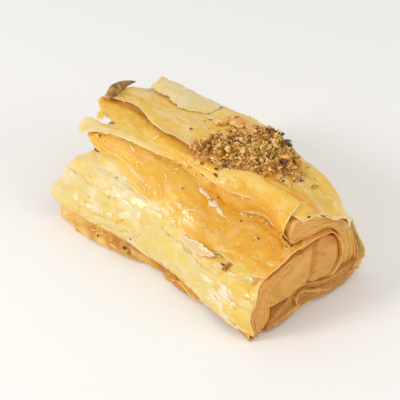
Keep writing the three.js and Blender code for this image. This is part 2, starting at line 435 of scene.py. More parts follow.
def crumpled(u, v, look, seed, rough):
    """The height in millimetres of a sheet's waves, ridged wrinkles, crinkles and blisters."""
    wave = look.wave * noise(u / 15, v / 8, seed)
    ridge = look.wrinkle * (0.7 - 2 * np.abs(noise((u + 0.5 * v) / 17, v / 3.4, seed + 1)))
    cross = look.wrinkle * 0.4 * (0.6 - 2 * np.abs(noise(u / 7, (v - 0.3 * u) / 4, seed + 5)))
    crinkle = look.crinkle * (noise(u / 4.2, v / 1.3, seed + 2) + 0.5 * noise(u / 1.6, v / 0.9, seed + 3))
    blister = look.blister * np.clip(noise(u / 4.5, v / 3, seed + 4) - 0.3, 0, 1)
    return rough * (wave + ridge + cross + crinkle + blister) / MM


def tone_grid(tones):
    """A grid of how baked a sheet is, with any painted shade its table holds, from lists of one or more
    numbers, left to right.
    """
    table = np.array([[row[0]] * 2 if len(row) == 1 else row for row in tones], float)
    return (np.repeat(table, 2, axis=0) if len(table) == 1 else table)[..., None]


def sheet(name, rows, tones, seed, span=None, tears=(1, 1, 0, 1), thick=1.0, rough=1.0, lift=0.0, flutter=0.0,
          curl=0.0, rim=1.0, pitch=None, bite=NO_BITE, window=None, tear_seed=None, sink=0.0, blunt=False):
    """A thin closed sheet over rows, from its root row to its free edge.

    tones say how baked it is, from 0 pale to 1 toasted: one list, left to right, for each step from its root
    to its free edge. Some tables also deepen a stretch that lies in shade, as painted shade. tears are the
    depths torn off the left, the right, the root and the free edge, and lift, flutter and curl move it
    outward, all in millimetres. bite draws its left end back, as pairs of a share across and a depth. window
    keeps a scrap of it only, in the terms of WHOLE. sink is how much lower its borders lie than the rest. A
    blunt sheet keeps its thickness up to its borders.
    """
    look = bpy.context.scene.baklava_sheets
    grid = surface(rows, span)
    long = np.linalg.norm(np.diff(grid, axis=1), axis=2).sum(axis=1).mean()
    wide = np.linalg.norm(np.diff(grid, axis=0), axis=2).sum(axis=0).mean()
    pitch = pitch or look.pitch / MM
    across_from, across_to, along_from, along_to, widest = window or WHOLE
    high_share = across_to - across_from
    long_share = along_to - along_from
    columns = 1 + max(8, int(long * long_share / pitch))
    lines = 1 + max(5, int(wide * high_share / pitch))
    s, t = np.meshgrid(np.linspace(0, 1, lines), np.linspace(0, 1, columns), indexing="ij")

    # Its torn outline, as shares of its length and width.
    tear_seed = tear_seed or seed
    scales = SCRAP_SCALES if window else TEAR_SCALES
    left = torn(s * wide * high_share, tears[0], tear_seed + 7, scales) / long
    right = torn(s * wide * high_share, tears[1], tear_seed + 9, scales) / long
    low = torn(t * long * long_share, tears[2], tear_seed + 11, scales) / wide
    high = torn(t * long * long_share, tears[3], tear_seed + 13, scales) / wide
    left += np.interp(s, *zip(*bite)) / long
    narrow = 1.0
    if window:
        left, right = np.minimum(left, 0.3 * long_share), np.minimum(right, 0.3 * long_share)
        low, high = np.minimum(low, 0.4 * high_share), np.minimum(high, 0.4 * high_share)
        narrow = 0.06 + 0.94 * (1 - np.abs(t - widest) / max(widest, 1 - widest)) ** 0.7
    at_t = along_from + left + t * (long_share - left - right)
    at_s = across_from + high_share / 2 + ((s - 0.5) * (high_share - low - high) + (low - high) / 2) * narrow

    # Its points, and which way is out.
    points = sampled(grid, at_s, at_t)
    u = at_t * long
    v = at_s * wide
    normal = np.cross(np.gradient(points, axis=1), np.gradient(points, axis=0))
    normal /= np.linalg.norm(normal, axis=2, keepdims=True) + 1e-9
    outward = ((points - SECTION_CENTRE) * normal * [0, 1, 1]).sum() > 0
    normal = normal if outward else -normal

    # How far each point is from the border, its height over the rows and its thickness, in millimetres.
    tall = wide * (high_share - low - high) * narrow
    broad = long * (long_share - left - right)
    border = np.minimum.reduce([s * tall, (1 - s) * tall, t * broad, (1 - t) * broad])
    crowded = np.linalg.norm(np.diff(points, axis=0), axis=2).sum(axis=0) / (high_share * wide)
    height = crumpled(u, v, look, seed, rough) * np.clip(1.4 * crowded, 0.15, 1)
    height = height + lift - sink * (1 - step(0, 1, border))
    free = (1 - step(0, 6, (1 - s) * wide)) ** 2
    height += free * (flutter * noise(u / 6, v / 9, seed + 21) + curl)
    points = points + normal * height[..., None]
    taper = 1.0 if blunt else 0.35 + 0.65 * step(0, 1.0, border)
    shell = look.thickness / MM * thick * taper + 0 * border
    rounding = 0.8 if blunt else 0.4
    shell[[0, -1], :] *= rounding
    shell[:, [0, -1]] *= rounding
    under = points - normal * shell[..., None]
    points[..., 2] = np.maximum(points[..., 2], FLOOR_GAP + shell)
    under[..., 2] = np.maximum(under[..., 2], FLOOR_GAP)

    # How baked each point is, with the painted shade that some tone tables hold.
    toasted = sampled(tone_grid(tones), at_s, at_t)[..., 0]
    # rim pales each sheet's border, partly a dry torn edge and partly a painted highlight along it.
    marks = {
        "bake": [toasted, toasted],
        "rim": [rim * (1 - step(0.1, 0.7, border))] * 2,
        "top": [step(0.8, 1.6, border), 0 * border],
    }
    uv = np.tile(np.column_stack([u.ravel(), v.ravel()]), (2, 1)) + tear_seed * TEXTURE_SHIFT
    stacked = np.concatenate([points.reshape(-1, 3), under.reshape(-1, 3)])
    return mesh_object(name, stacked, slab(lines, columns, not outward), marks, uv)


def places(count, seed):
    """Random places for scraps: long shards, widest anywhere along them."""
    chance = np.random.default_rng(seed)
    made = []
    for _ in range(count):
        high, long = chance.uniform(0.08, 0.26), chance.uniform(0.08, 0.32)
        middle, place = chance.uniform(0.08, 0.92), chance.uniform(0.04, 0.96)
        made.append((middle, place, high, long, chance.uniform(0.15, 0.85)))
    return made


def splinters(spots, seed, count=5):
    """Several small shards round each place, as a crackled patch has."""
    chance = np.random.default_rng(seed)
    made = []
    for middle, place, high, long, _ in spots:
        for _ in range(count):
            across, along = chance.uniform(-0.5, 0.5, 2)
            tall, broad = chance.uniform(0.4, 0.9, 2)
            widest = chance.uniform(0.2, 0.8)
            made.append((middle + across * high, place + along * long, high * tall, long * broad, widest))
    return made


def scraps(name, rows, tones, seed, spots, lift=0.0, rough=1.0, shade=0.12, up=(0.05, 0.12)):
    """Torn scraps that lie on the sheet of the same rows, tones and seed.

    spots are (share across, share along, height, length, where it is widest), up is how far they stand off.
    """
    chance = np.random.default_rng(seed)
    parts = []
    for n, (middle, place, high, long, widest) in enumerate(spots):
        edges = np.clip((middle - high / 2, middle + high / 2, place - long / 2, place + long / 2), 0.0, 1.0)
        change = chance.uniform(-shade, shade)
        toned = [[tone + change for tone in row] for row in tones]
        off = chance.uniform(*up)
        parts.append(sheet(
            f"{name}_{n}", rows, toned, seed, tears=chance.uniform(0.8, 2.0, 4), thick=0.3, rough=rough,
            lift=lift + off, rim=0.5, window=(*edges, widest), tear_seed=seed + 50 + 7 * n, sink=off - 0.02,
        ))
    return joined(name, parts)


# ---------------------------------------------------------------- sections


def filling_rows(grow=0.0, span=(-39.4, 39.4)):
    """The filling's closed outline, grown outward, as rows along the piece."""
    x = np.linspace(*span, ROW_POINTS)
    centre = np.mean(FILLING_CUT, axis=0)
    side = line(SIDE, ROW_POINTS, span)[:, 1]
    rows = []
    for n, (y, z) in enumerate(FILLING_CUT):
        out = np.array([y, z]) - centre
        out = out / np.linalg.norm(out) * grow
        drawn = side - side[-1] if y < FILLING_NEAR else 0 * x
        sag = FILLING_SAG * np.exp(-(((x - 8) / 16) ** 2)) if 1 <= n <= FILLING_TOP else 0 * x
        rows.append(np.column_stack([x, y + out[0] + drawn, z + out[1] - sag]))
    return rows


def closed_ring(rows, span, around, along):
    """A closed surface's points: around a ring, and along x."""
    lines = np.array([line(row, along, span) for row in rows])
    chord = np.linalg.norm(np.diff(lines, axis=0, append=lines[:1]), axis=2).mean(axis=1)
    wrapped = np.concatenate([lines[-2:], lines, lines[:3]])
    knots = np.concatenate([[0], np.cumsum(np.concatenate([chord[-2:], chord, chord[:2]]))])
    first, last = knots[2], knots[2 + len(lines)]
    return smooth(knots, wrapped, np.linspace(first, last, around + 1)[:-1])


def ring_area(ring):
    """A ring's area in the section, below 0 where it runs the other way round."""
    y, z = ring[:, 1], ring[:, 2]
    return 0.5 * np.sum(y * np.roll(z, -1) - np.roll(y, -1) * z)


# The core's top, which fills the fold at the right.
CORE_TOP = MIDDLE_TOP[:7] + [
    (12, -1.4, 31.6), (20, 0.2, 32.6), (28, 0.2, 32.8), (33, -0.2, 32.8), (36, -0.4, 32.4),
    (38.4, -0.4, 30.4),
]
CORE_BREAST = BREAST[:4] + shifted(FOLD_NOSE[1:], dy=-0.5, dz=0.2)
CORE_OUTLINE = [
    BASE_MID, FOOT, TOE, SIDE, UPPER, SHOULDER, UNDER, CREASE, MIDDLE_EDGE, CORE_BREAST, CORE_TOP, MIDDLE,
    DIP, RIDGE, HAUNCH, WALL, HEEL, BASE_FAR,
]


def cut_face(outer, inner, end, sign, sheets, layers, place):
    """The core's face at one cut, stepped by its sheets, and how far each point stands out, from 0 to 1,
    which sets the cut layers' painted light and shade.
    """
    share = np.linspace(0, 1, layers)[None, 1:-1]
    face = outer[:, end, None] + (inner[:, end, None] - outer[:, end, None]) * share[..., None]
    deep = sheets * share + 0.9 * noise(place / 9, 2.4 * share, 6 + end)
    deep = deep + 0.3 * noise(place / 3, 5 * share, 9 + end)
    index = np.floor(deep).astype(np.int64)
    across = np.abs(deep - index - 0.5) * 2
    drawn = 0.9 * hashed(index, 0 * index, 12 + end) + 0.5 * noise(place / 4, index * 3.7, 13)
    back = drawn + 0.9 * step(0.55, 1.0, across) + 0.12 * noise(place / 1.1, 9 * share, 8)
    back = back + 1.6 * step(0.9, 1.0, share)
    face[..., 0] -= sign * back
    # How far each point stands out, used below as painted light.
    light = np.clip(1 - back, 0, 1)
    return (face, light) if sign > 0 else (face[:, ::-1], light[:, ::-1])


def build_core():
    """The dense inner layers as one loaf, with the filling's tunnel and the layers that show at the cuts."""
    around, along, layers = 300, 60, 66
    outer = closed_ring(drawn_in(CORE_OUTLINE, CORE_INSET), CORE_SPAN, around, along)
    inner = closed_ring(filling_rows(TUNNEL_GAP), CORE_SPAN, around, along)
    if np.sign(ring_area(inner[:, 0])) != np.sign(ring_area(outer[:, 0])):
        inner = inner[::-1]
    start = np.argmin(np.linalg.norm(inner[:, 0] - outer[0, 0], axis=1))
    inner = np.roll(inner, -start, axis=0)
    place = np.linspace(0, CORE_AROUND, around)[:, None]
    outer[..., 1:] += 0.25 * noise(place / 3, outer[..., 0] / 9, 5)[..., None]
    folded = step(FOLD_LOW, FOLD_HIGH, outer[..., 2]) * (1 - step(-1, 3, outer[..., 1]))
    outer[..., 0] -= folded * np.clip(outer[..., 0] - CORE_FOLD_END, 0, None)
    right_face, right_light = cut_face(outer, inner, -1, 1, 9, layers, place)
    left_face, left_light = cut_face(outer, inner, 0, -1, 12, layers, place)
    loop = np.concatenate([outer, right_face, inner[:, ::-1], left_face], axis=1)
    loop[..., 2] = np.maximum(loop[..., 2], CORE_GAP)
    columns = loop.shape[1]
    faces = quads(around, columns, ringed=(True, True))
    if ring_area(outer[:, 0]) < 0:
        faces = faces[:, ::-1]
    bake = np.full((around, columns), 0.95)
    rim = np.zeros((around, columns))
    # Painted shade and light at the cuts: layers drawn back get a higher bake, darker as painted shade in the
    # recesses, and layers that stand out get a pale rim as a painted highlight.
    for first, light in ((along, right_light), (columns - (layers - 2), left_light)):
        at = slice(first, first + layers - 2)
        bake[:, at] = 1.2 - 0.5 * light
        rim[:, at] = 0.35 * light**2
    uv = np.column_stack([loop[..., 0].ravel(), np.repeat(place, columns)])
    return mesh_object("pastry_core", loop.reshape(-1, 3), faces, {"bake": bake, "rim": rim}, uv)


# ---------------------------------------------------------------- nodes


def fed(tree, socket, value):
    """Links a socket into another one, or sets a number, colour or object there."""
    if isinstance(value, bpy.types.NodeSocket):
        tree.links.new(value, socket)
    else:
        socket.default_value = value


def node(tree, kind, inputs=None, **settings):
    """A node with its inputs set or linked."""
    made = tree.nodes.new(kind)
    for key, value in settings.items():
        setattr(made, key, value)
    for key, value in (inputs or {}).items():
        fed(tree, made.inputs[key], value)
    return made


def new_tree(name, kind, sockets_in, sockets_out):
    """A node group with named sockets, and what it is given."""
    tree = bpy.data.node_groups.new(name, kind)
    for direction, sockets in (("INPUT", sockets_in), ("OUTPUT", sockets_out)):
        for title, socket_kind in sockets.items():
            tree.interface.new_socket(title, in_out=direction, socket_type=f"NodeSocket{socket_kind}")
    return tree, tree.nodes.new("NodeGroupInput").outputs


def mix_colour(tree, factor, a, b):
    made = node(tree, "ShaderNodeMix", data_type="RGBA")
    for index, value in ((0, factor), (6, a), (7, b)):
        fed(tree, made.inputs[index], value)
    return made.outputs[2]


def maths(tree, operation, a, b=0.0):
    return node(tree, "ShaderNodeMath", {0: a, 1: b}, operation=operation).outputs[0]


def plus(tree, a, b):
    return maths(tree, "ADD", a, b)


def times(tree, a, b):
    return maths(tree, "MULTIPLY", a, b)


def larger(tree, a, b):
    return maths(tree, "MAXIMUM", a, b)


def vector_maths(tree, operation, a, b):
    """Vector sums and products, where SCALE takes a number as its second."""
    inputs = {0: a, "Scale" if operation == "SCALE" else 1: b}
    return node(tree, "ShaderNodeVectorMath", inputs, operation=operation).outputs[0]


def ramp(tree, value, low, high):
    """0 below low and 1 above high."""
    return node(tree, "ShaderNodeMapRange", {"Value": value, "From Min": low, "From Max": high}).outputs[0]


def texture(tree, vector, stretch, detail=3.0, shift=0.0):
    """Noise over a vector stretched by (x, y, z) cells per unit."""
    moved = {"Vector": vector, "Scale": stretch, "Location": (shift, shift, 0)}
    mapped = node(tree, "ShaderNodeMapping", moved).outputs[0]
    return node(tree, "ShaderNodeTexNoise", {"Vector": mapped, "Scale": 1.0, "Detail": detail}).outputs[0]


def attribute(tree, name):
    return node(tree, "ShaderNodeAttribute", attribute_name=name).outputs["Fac"]


def object_place(tree):
    return node(tree, "ShaderNodeTexCoord").outputs["Object"]


def bump(tree, height, strength, distance):
    """A bumped normal, its distance in millimetres."""
    inputs = {"Height": height, "Strength": strength, "Distance": distance * MM}
    return node(tree, "ShaderNodeBump", inputs).outputs[0]


def roughened(tree, pattern, share, base):
    """A roughness of base where a pattern is 0 and share more where it is 1."""
    return plus(tree, times(tree, pattern, share), base)


def scattering(weight, radius, reach):
    """The shader inputs for light that scatters under a surface, its reach in millimetres."""
    return {"Subsurface Weight": weight, "Subsurface Radius": radius, "Subsurface Scale": reach * MM}


def coated(weight, roughness):
    """The shader inputs for a coat of syrup."""
    return {"Coat Weight": weight, "Coat Roughness": roughness, "Coat IOR": 1.4}


def material_from(name, fill):
    """A material of one principled shader, made once, whose inputs fill gives from its node tree."""
    if name in bpy.data.materials:
        return bpy.data.materials[name]
    material = bpy.data.materials.new(name)
    material.use_nodes = True
    tree = material.node_tree
    tree.nodes.clear()
    shader = node(tree, "ShaderNodeBsdfPrincipled", fill(tree))
    node(tree, "ShaderNodeOutputMaterial", {"Surface": shader.outputs[0]})
    return material


def colour(name):
    """A colour of the settings, by name."""
    return tuple(getattr(bpy.context.scene.baklava_colours, name))


# ---------------------------------------------------------------- materials


# The colours of a kind of phyllo, by name: how it goes from pale to browned, and its colour where it is dry
# and for its painted glints and highlights.
SHADE_NAMES = ("Pale", "Golden", "Toasted", "Browned", "Dry")
SHEET_SHADES = ("pale", "golden", "toasted", "browned", "dry")
SIDE_SHADES = ("pale", "lemon", "golden", "browned", "dry")
THIN_SHADES = ("thin", "pale", "golden", "toasted", "frosted")
PEARL_HIGHLIGHT_SHADES = ("pearl", "pale", "lemon", "golden", "frosted")
FROSTED_GLINT_SHADES = ("frosted", "thin", "pale", "golden", "frosted")
CLEAR_SHADES = ("clear", "thin", "pale", "golden", "frosted")
INNER_SHADES = ("inner_gold", "inner_gold", "inner_tan", "browned", "crust_dry")
BASE_SHADES = ("crust_tan", "base_tan", "browned", "browned", "crust_dry")
CRUST_SHADES = ("crust_pale", "crust_gold", "crust_tan", "browned", "crust_dry")

# The kinds of phyllo: how much dry film they have, how much light goes under the surface, and how bumped,
# mottled and shiny they are.
PHYLLO_KINDS = {
    "core": {"film": 0.1, "subsurface": 0.2},
    "inner": {"film": 0.1, "subsurface": 0.2, "mottle": 0.5, "shades": INNER_SHADES, "shine": 0.6},
    "base": {"film": 0.3, "subsurface": 0.15, "mottle": 1.2, "shades": BASE_SHADES, "shine": 0.3},
    "crust": {"film": 0.6, "subsurface": 0.15, "mottle": 2.0, "shades": CRUST_SHADES, "shine": 0.3},
    "top": {"film": 0.45, "bumped": 0.35, "mottle": 0.6},
    "side": {"film": 0.8, "bumped": 0.5, "mottle": 1.1, "shades": SIDE_SHADES, "shine": 0.8},
    "leaf": {"film": 0.3, "mottle": 0.7, "shine": 0.75},
    "film": {"film": 0.5, "subsurface": 0.1},
    "thin": {"film": 0.5, "mottle": 0.5, "shades": THIN_SHADES},
    "frosted": {"film": 1.0, "subsurface": 0.1, "shades": FROSTED_GLINT_SHADES},
    "pearl": {"film": 0.7, "subsurface": 0.2, "mottle": 0.5, "shades": PEARL_HIGHLIGHT_SHADES},
    "clear": {"film": 0.15, "mottle": 0.8, "shades": CLEAR_SHADES},
}

# The patterns that vary how baked a sheet is, as (stretch, detail, shift, strength).
MOTTLES = (((0.8, 1.1, 1), 3, 0.0, 1.3), ((2.4, 3.4, 1), 3, 13.0, 1.0), ((1.6, 5.0, 1), 3, 5.0, 0.5),
           ((8, 12, 1), 2, 9.0, 0.25))
# The films that lie on it, as (stretch, shift, level, how much darker or lighter they are).
FILMS = (((0.7, 1.8, 1), 31.0, 0.5, -0.1), ((1.3, 3.2, 1), 37.0, 0.55, -0.08),
         ((0.9, 2.4, 1), 43.0, 0.57, 0.1))
# Between which values of bake each shade takes over from the one before.
BAKE_STEPS = ((0.0, 0.5, "Golden"), (0.5, 1.0, "Toasted"), (1.05, 1.5, "Browned"))


def phyllo_surface():
    """The node group that gives a sheet's colour, roughness, gloss and fine height, made once."""
    if "phyllo_surface" in bpy.data.node_groups:
        return bpy.data.node_groups["phyllo_surface"]
    sockets = {"Place": "Vector", "Bake": "Float", "Rim": "Float", "Film": "Float", "Mottle": "Float"}
    sockets.update({title: "Color" for title in SHADE_NAMES})
    results = {"Color": "Color", "Roughness": "Float", "Gloss": "Float", "Height": "Float"}
    tree, given = new_tree("phyllo_surface", "ShaderNodeTree", sockets, results)
    place = given["Place"]
    patterns = [texture(tree, place, stretch, detail, shift) for stretch, detail, shift, _ in MOTTLES]
    mottle = 0.0
    for pattern, (*_, strength) in zip(patterns, MOTTLES):
        mottle = plus(tree, times(tree, maths(tree, "SUBTRACT", pattern, 0.5), strength), mottle)
    bake = plus(tree, given["Bake"], times(tree, mottle, given["Mottle"]))
    height = 0.0
    lines = 0.0
    for stretch, shift, level, shade in FILMS:
        film = texture(tree, place, stretch, 4, shift)
        over = ramp(tree, film, level, level + 0.012)
        # Each film's edge line, painted pale below, partly a dry rim and partly a painted highlight along it.
        edge = node(tree, "ShaderNodeMath", {0: film, 1: level + 0.004, 2: 0.006}, operation="COMPARE")
        bake = plus(tree, bake, times(tree, over, shade))
        height = plus(tree, times(tree, over, 0.07), height)
        lines = plus(tree, edge.outputs[0], lines)
    tone = given["Pale"]
    for low, high, title in BAKE_STEPS:
        tone = mix_colour(tree, ramp(tree, bake, low, high), tone, given[title])
    # Where the sheet takes its dry and glint colour: dry film patches, the films' edge lines and the rims,
    # which are partly dry and partly painted highlights, and small glints, which are painted highlights.
    dry = ramp(tree, texture(tree, place, (1.3, 1.9, 1), 4, 17.0), 0.5, 0.68)
    dry = times(tree, dry, given["Film"])
    dry = larger(tree, dry, times(tree, lines, 0.12))
    dry = larger(tree, dry, times(tree, given["Rim"], 0.65))
    # Painted glints: small pale flecks that stand in for the syrup's highlights.
    glint = ramp(tree, texture(tree, place, (9, 15, 1), 3, 51.0), 0.62, 0.67)
    glint = times(tree, glint, ramp(tree, patterns[1], 0.42, 0.56))
    dry = larger(tree, dry, times(tree, glint, 0.7))
    wet = texture(tree, place, (1.2, 2.2, 1), 2, 23.0)
    long = texture(tree, place, (2.2, 4.5, 1), 3, 3.0)
    short = texture(tree, place, (13, 20, 1), 2, 8.0)
    height = plus(tree, height, times(tree, long, 0.55))
    node(tree, "NodeGroupOutput", {
        "Color": mix_colour(tree, dry, tone, given["Dry"]),
        "Roughness": roughened(tree, ramp(tree, wet, 0.36, 0.62), 0.36, 0.14),
        "Gloss": times(tree, ramp(tree, wet, 0.6, 0.4), 0.4),
        "Height": plus(tree, height, times(tree, short, 0.4)),
    })
    return tree


def phyllo(kind):
    """A baked phyllo sheet: pale to golden, syrup-glossed, dry and whitish where it flakes, with painted
    glints and pale rims that are partly painted highlights.
    """
    return material_from(f"phyllo_{kind}", lambda tree: phyllo_inputs(tree, **PHYLLO_KINDS[kind]))


def phyllo_inputs(tree, film, subsurface=0.35, bumped=0.7, mottle=0.9, shades=SHEET_SHADES, shine=1.0):
    """The shader inputs of one kind of phyllo."""
    feeds = {
        "Place": node(tree, "ShaderNodeUVMap", uv_map="sheet").outputs[0],
        "Bake": attribute(tree, "bake"), "Rim": attribute(tree, "rim"), "Film": film, "Mottle": mottle,
    }
    feeds.update({title: colour(shade) for title, shade in zip(SHADE_NAMES, shades)})
    surfaced = node(tree, "ShaderNodeGroup", node_tree=phyllo_surface())
    for title, value in feeds.items():
        fed(tree, surfaced.inputs[title], value)
    return {
        "Base Color": surfaced.outputs["Color"], "Roughness": surfaced.outputs["Roughness"],
        "Specular IOR Level": 0.5 * shine, **coated(times(tree, surfaced.outputs["Gloss"], shine), 0.12),
        **scattering(subsurface, (1.0, 0.85, 0.6), 0.5),
        "Normal": bump(tree, surfaced.outputs["Height"], bumped, 0.25),
    }


def flake_skin(tree):
    """A loose flake: pale, glossy and blotched like the sheets under it."""
    place = object_place(tree)
    patch = texture(tree, place, (160, 160, 160), 2)
    fine = texture(tree, place, (500, 500, 500), 3, 3.0)
    tone = mix_colour(tree, ramp(tree, patch, 0.38, 0.62), colour("pale"), colour("golden"))
    return {
        "Base Color": mix_colour(tree, ramp(tree, fine, 0.55, 0.7), tone, colour("dry")),
        "Roughness": roughened(tree, fine, 0.4, 0.1), **coated(ramp(tree, patch, 0.6, 0.4), 0.1),
        **scattering(0.2, (1.0, 0.9, 0.8), 0.3), "Normal": bump(tree, fine, 0.5, 0.2),
    }


def cream(tree):
    """Set cream and semolina: tan, finely grained, moist, darker in its cracks, and with painted shade along
    the right cut's far rim and in its fold.
    """
    place = object_place(tree)
    grain = texture(tree, place, (900, 900, 900), 4)
    patch = texture(tree, place, (110, 110, 170), 3)
    tone = mix_colour(tree, ramp(tree, patch, 0.35, 0.68), colour("cream_light"), colour("cream_dark"))
    # Cracks, and painted shade along the far rim and in the fold.
    cracked_and_shaded = times(tree, attribute(tree, "crack"), 0.9)
    return {
        "Base Color": mix_colour(tree, cracked_and_shaded, tone, colour("cream_crack_and_shade")),
        "Roughness": roughened(tree, grain, 0.4, 0.25), **scattering(0.3, (1.0, 0.6, 0.3), 2),
        "Normal": bump(tree, plus(tree, grain, times(tree, patch, 1.5)), 0.5, 0.2),
    }


# The kinds of nut: their light, dark and fleck colours, the flecks' share, the roughness, and the grain's
# cells for each metre.
NUT_KINDS = {
    "nut_tan": ("nut_tan", "nut_roast", "nut_pale", 0.5, 0.6, 2200.0),
    "nut_pale": ("nut_pale", "nut_tan", "nut_roast", 0.1, 0.6, 2200.0),
    "nut_brown": ("nut_brown", "nut_tan", "nut_skin", 0.5, 0.6, 2200.0),
    "nut_green": ("nut_green", "nut_olive", "nut_tan", 0.3, 0.6, 2200.0),
    "nut_skin": ("nut_skin", "nut_brown", "nut_skin", 0.3, 0.45, 2200.0),
    "nut_chip": ("nut_caramel", "nut_tan", "nut_pale", 0.6, 0.4, 600.0),
    "nut_gold": ("nut_gold", "nut_tan", "nut_olive", 0.3, 0.5, 700.0),
    "kernel_skin": ("kernel_skin", "kernel_blush", "nut_olive", 0.5, 0.5, 1500.0),
}


def nut(kind):
    """Broken nut flesh with papery skin flecks."""
    return material_from(kind, lambda tree: nut_inputs(tree, *NUT_KINDS[kind]))


def nut_inputs(tree, light, dark, fleck, fleck_share, rough, grain):
    """The shader inputs of one kind of nut."""
    place = object_place(tree)
    patch = texture(tree, place, (grain * 0.45,) * 3, 2)
    fine = texture(tree, place, (grain,) * 3, 3)
    spot = texture(tree, place, (grain * 0.35,) * 3, 2, 4.0)
    tone = mix_colour(tree, ramp(tree, patch, 0.36, 0.64), colour(light), colour(dark))
    edge = 0.72 - 0.3 * fleck_share
    return {
        "Base Color": mix_colour(tree, ramp(tree, spot, edge, edge + 0.06), tone, colour(fleck)),
        "Roughness": roughened(tree, fine, 0.4, rough - 0.2), **scattering(0.1, (1.0, 0.7, 0.3), 0.8),
        "Normal": bump(tree, fine, 0.6, 0.15),
    }


def floor_skin(tree):
    """A plain, matt, pale floor."""
    grain = texture(tree, object_place(tree), (20, 20, 20), 2)
    floor = tuple(bpy.context.scene.baklava_stage.floor)
    return {"Base Color": floor, "Roughness": roughened(tree, grain, 0.1, 0.8)}


# ---------------------------------------------------------------- settings


def length(name, description, default, low=0.0, high=0.01):
    return bpy.props.FloatProperty(
        name=name, description=description, default=default, min=low, max=high, unit="LENGTH", precision=5
    )


def tint(name, description, red, green, blue):
    """A colour property from display values of 0 to 255."""
    value = [((c / 255 + 0.055) / 1.055) ** 2.4 if c > 10 else c / 255 / 12.92 for c in (red, green, blue)]
    return bpy.props.FloatVectorProperty(
        name=name, description=description, default=(*value, 1.0), subtype="COLOR", size=4, min=0, max=1
    )


class BaklavaSheetSettings(bpy.types.PropertyGroup):
    """How thin and how crumpled the phyllo sheets are"""

    pitch: length("Mesh pitch", "Distance between a sheet's mesh points", 0.38 * MM, 0.2 * MM)
    thickness: length("Sheet thickness", "Thickness of one baked sheet", 0.3 * MM, 0.05 * MM)
    wave: length("Wave height", "Height of a sheet's broad waves", 0.4 * MM)
    wrinkle: length("Wrinkle height", "Height of the long wrinkles", 0.22 * MM)
    crinkle: length("Crinkle height", "Height of the fine crinkles", 0.07 * MM)
    blister: length("Blister height", "Height of the baked blisters", 0.6 * MM)


class BaklavaColours(bpy.types.PropertyGroup):
    """Colours of the pastry, the filling and the nuts"""

    pale: tint("Pale phyllo", "Least baked sheets", 238, 208, 134)
    # Partly the near side's own creamy patches and partly a painted highlight on its bulge.
    pearl: tint("Pearly phyllo", "Creamy patches of the near side", 246, 228, 168)
    lemon: tint("Lemon phyllo", "Yellow patches of the near side", 240, 206, 98)
    golden: tint("Golden phyllo", "Golden sheets", 238, 190, 68)
    toasted: tint("Toasted phyllo", "Syrup-rich, toasted sheets", 232, 164, 26)
    browned: tint("Browned phyllo", "Browned crust", 184, 114, 40)
    clear: tint("Clear phyllo", "Greyish, see-through torn films", 222, 188, 132)
    # Used where sheets are dry, and as the colour of their painted glints and edge highlights.
    dry: tint("Dry phyllo", "Dry flakes and torn rims", 252, 228, 184)
    thin: tint("Thin phyllo", "Single, nearly clear sheets", 246, 216, 150)
    # Also the colour of the shards that stand in for glints, and of the painted glints of thin sheets.
    frosted: tint("Frosted phyllo", "Nearly white torn films", 250, 232, 192)
    inner_gold: tint("Golden inner sheets", "Lighter ends of the inner sheets", 234, 178, 88)
    inner_tan: tint("Tan inner sheets", "Darker ends of the inner sheets", 222, 154, 62)
    crust_pale: tint("Pale crust", "Palest parts of the base crust", 236, 196, 130)
    crust_gold: tint("Golden crust", "Lighter parts of the base crust", 224, 174, 80)
    crust_tan: tint("Tan crust", "Darker parts of the base crust", 204, 144, 56)
    base_tan: tint("Base layers", "Pinkish tan of the base's cut layers", 194, 134, 70)
    # Also the colour of the crust's painted glints.
    crust_dry: tint("Dry crust", "Dry flakes of the base crust", 246, 212, 140)
    cream_light: tint("Light filling", "Lighter parts of the filling", 224, 168, 78)
    cream_dark: tint("Dark filling", "Darker parts of the filling", 208, 148, 58)
    # Also the painted shade along the right cut's far rim and in its fold.
    cream_crack_and_shade: tint("Filling cracks", "Cracks and folds in the filling", 186, 104, 30)
    nut_tan: tint("Tan nut", "Lightly roasted chopped nut", 222, 158, 66)
    nut_roast: tint("Roasted nut", "Roasted chopped nut", 178, 114, 46)
    nut_pale: tint("Pale nut", "Blanched chopped nut", 252, 222, 148)
    nut_brown: tint("Brown nut", "Browned nut bits", 126, 76, 34)
    nut_caramel: tint("Caramel nut", "Broad, smooth chips", 232, 178, 92)
    nut_green: tint("Green nut", "Green pistachio flesh", 206, 180, 48)
    nut_gold: tint("Golden nut", "Yellow-green kernel flesh", 222, 176, 58)
    nut_olive: tint("Olive nut", "Darker pistachio flesh", 134, 116, 26)
    nut_skin: tint("Nut skin", "Dark papery nut skin", 70, 38, 40)
    kernel_skin: tint("Kernel skin", "Brown skin of the long kernel", 132, 88, 30)
    kernel_blush: tint("Kernel blush", "Pinkish patches of the kernel's skin", 196, 146, 84)


class BaklavaCrumbSettings(bpy.types.PropertyGroup):
    """How thickly the chopped nuts lie"""

    density: bpy.props.FloatProperty(
        name="Crumb density", description="Crumbs for each square centimetre of the heap", default=240, min=0,
        max=900,
    )
    smallest: length("Smallest crumb", "Width of the finest crumbs", 0.35 * MM)
    largest: length("Largest crumb", "Width of the coarse crumbs", 1.9 * MM)
    seed: bpy.props.IntProperty(name="Seed", description="Seed of the scattering", default=11, min=0)


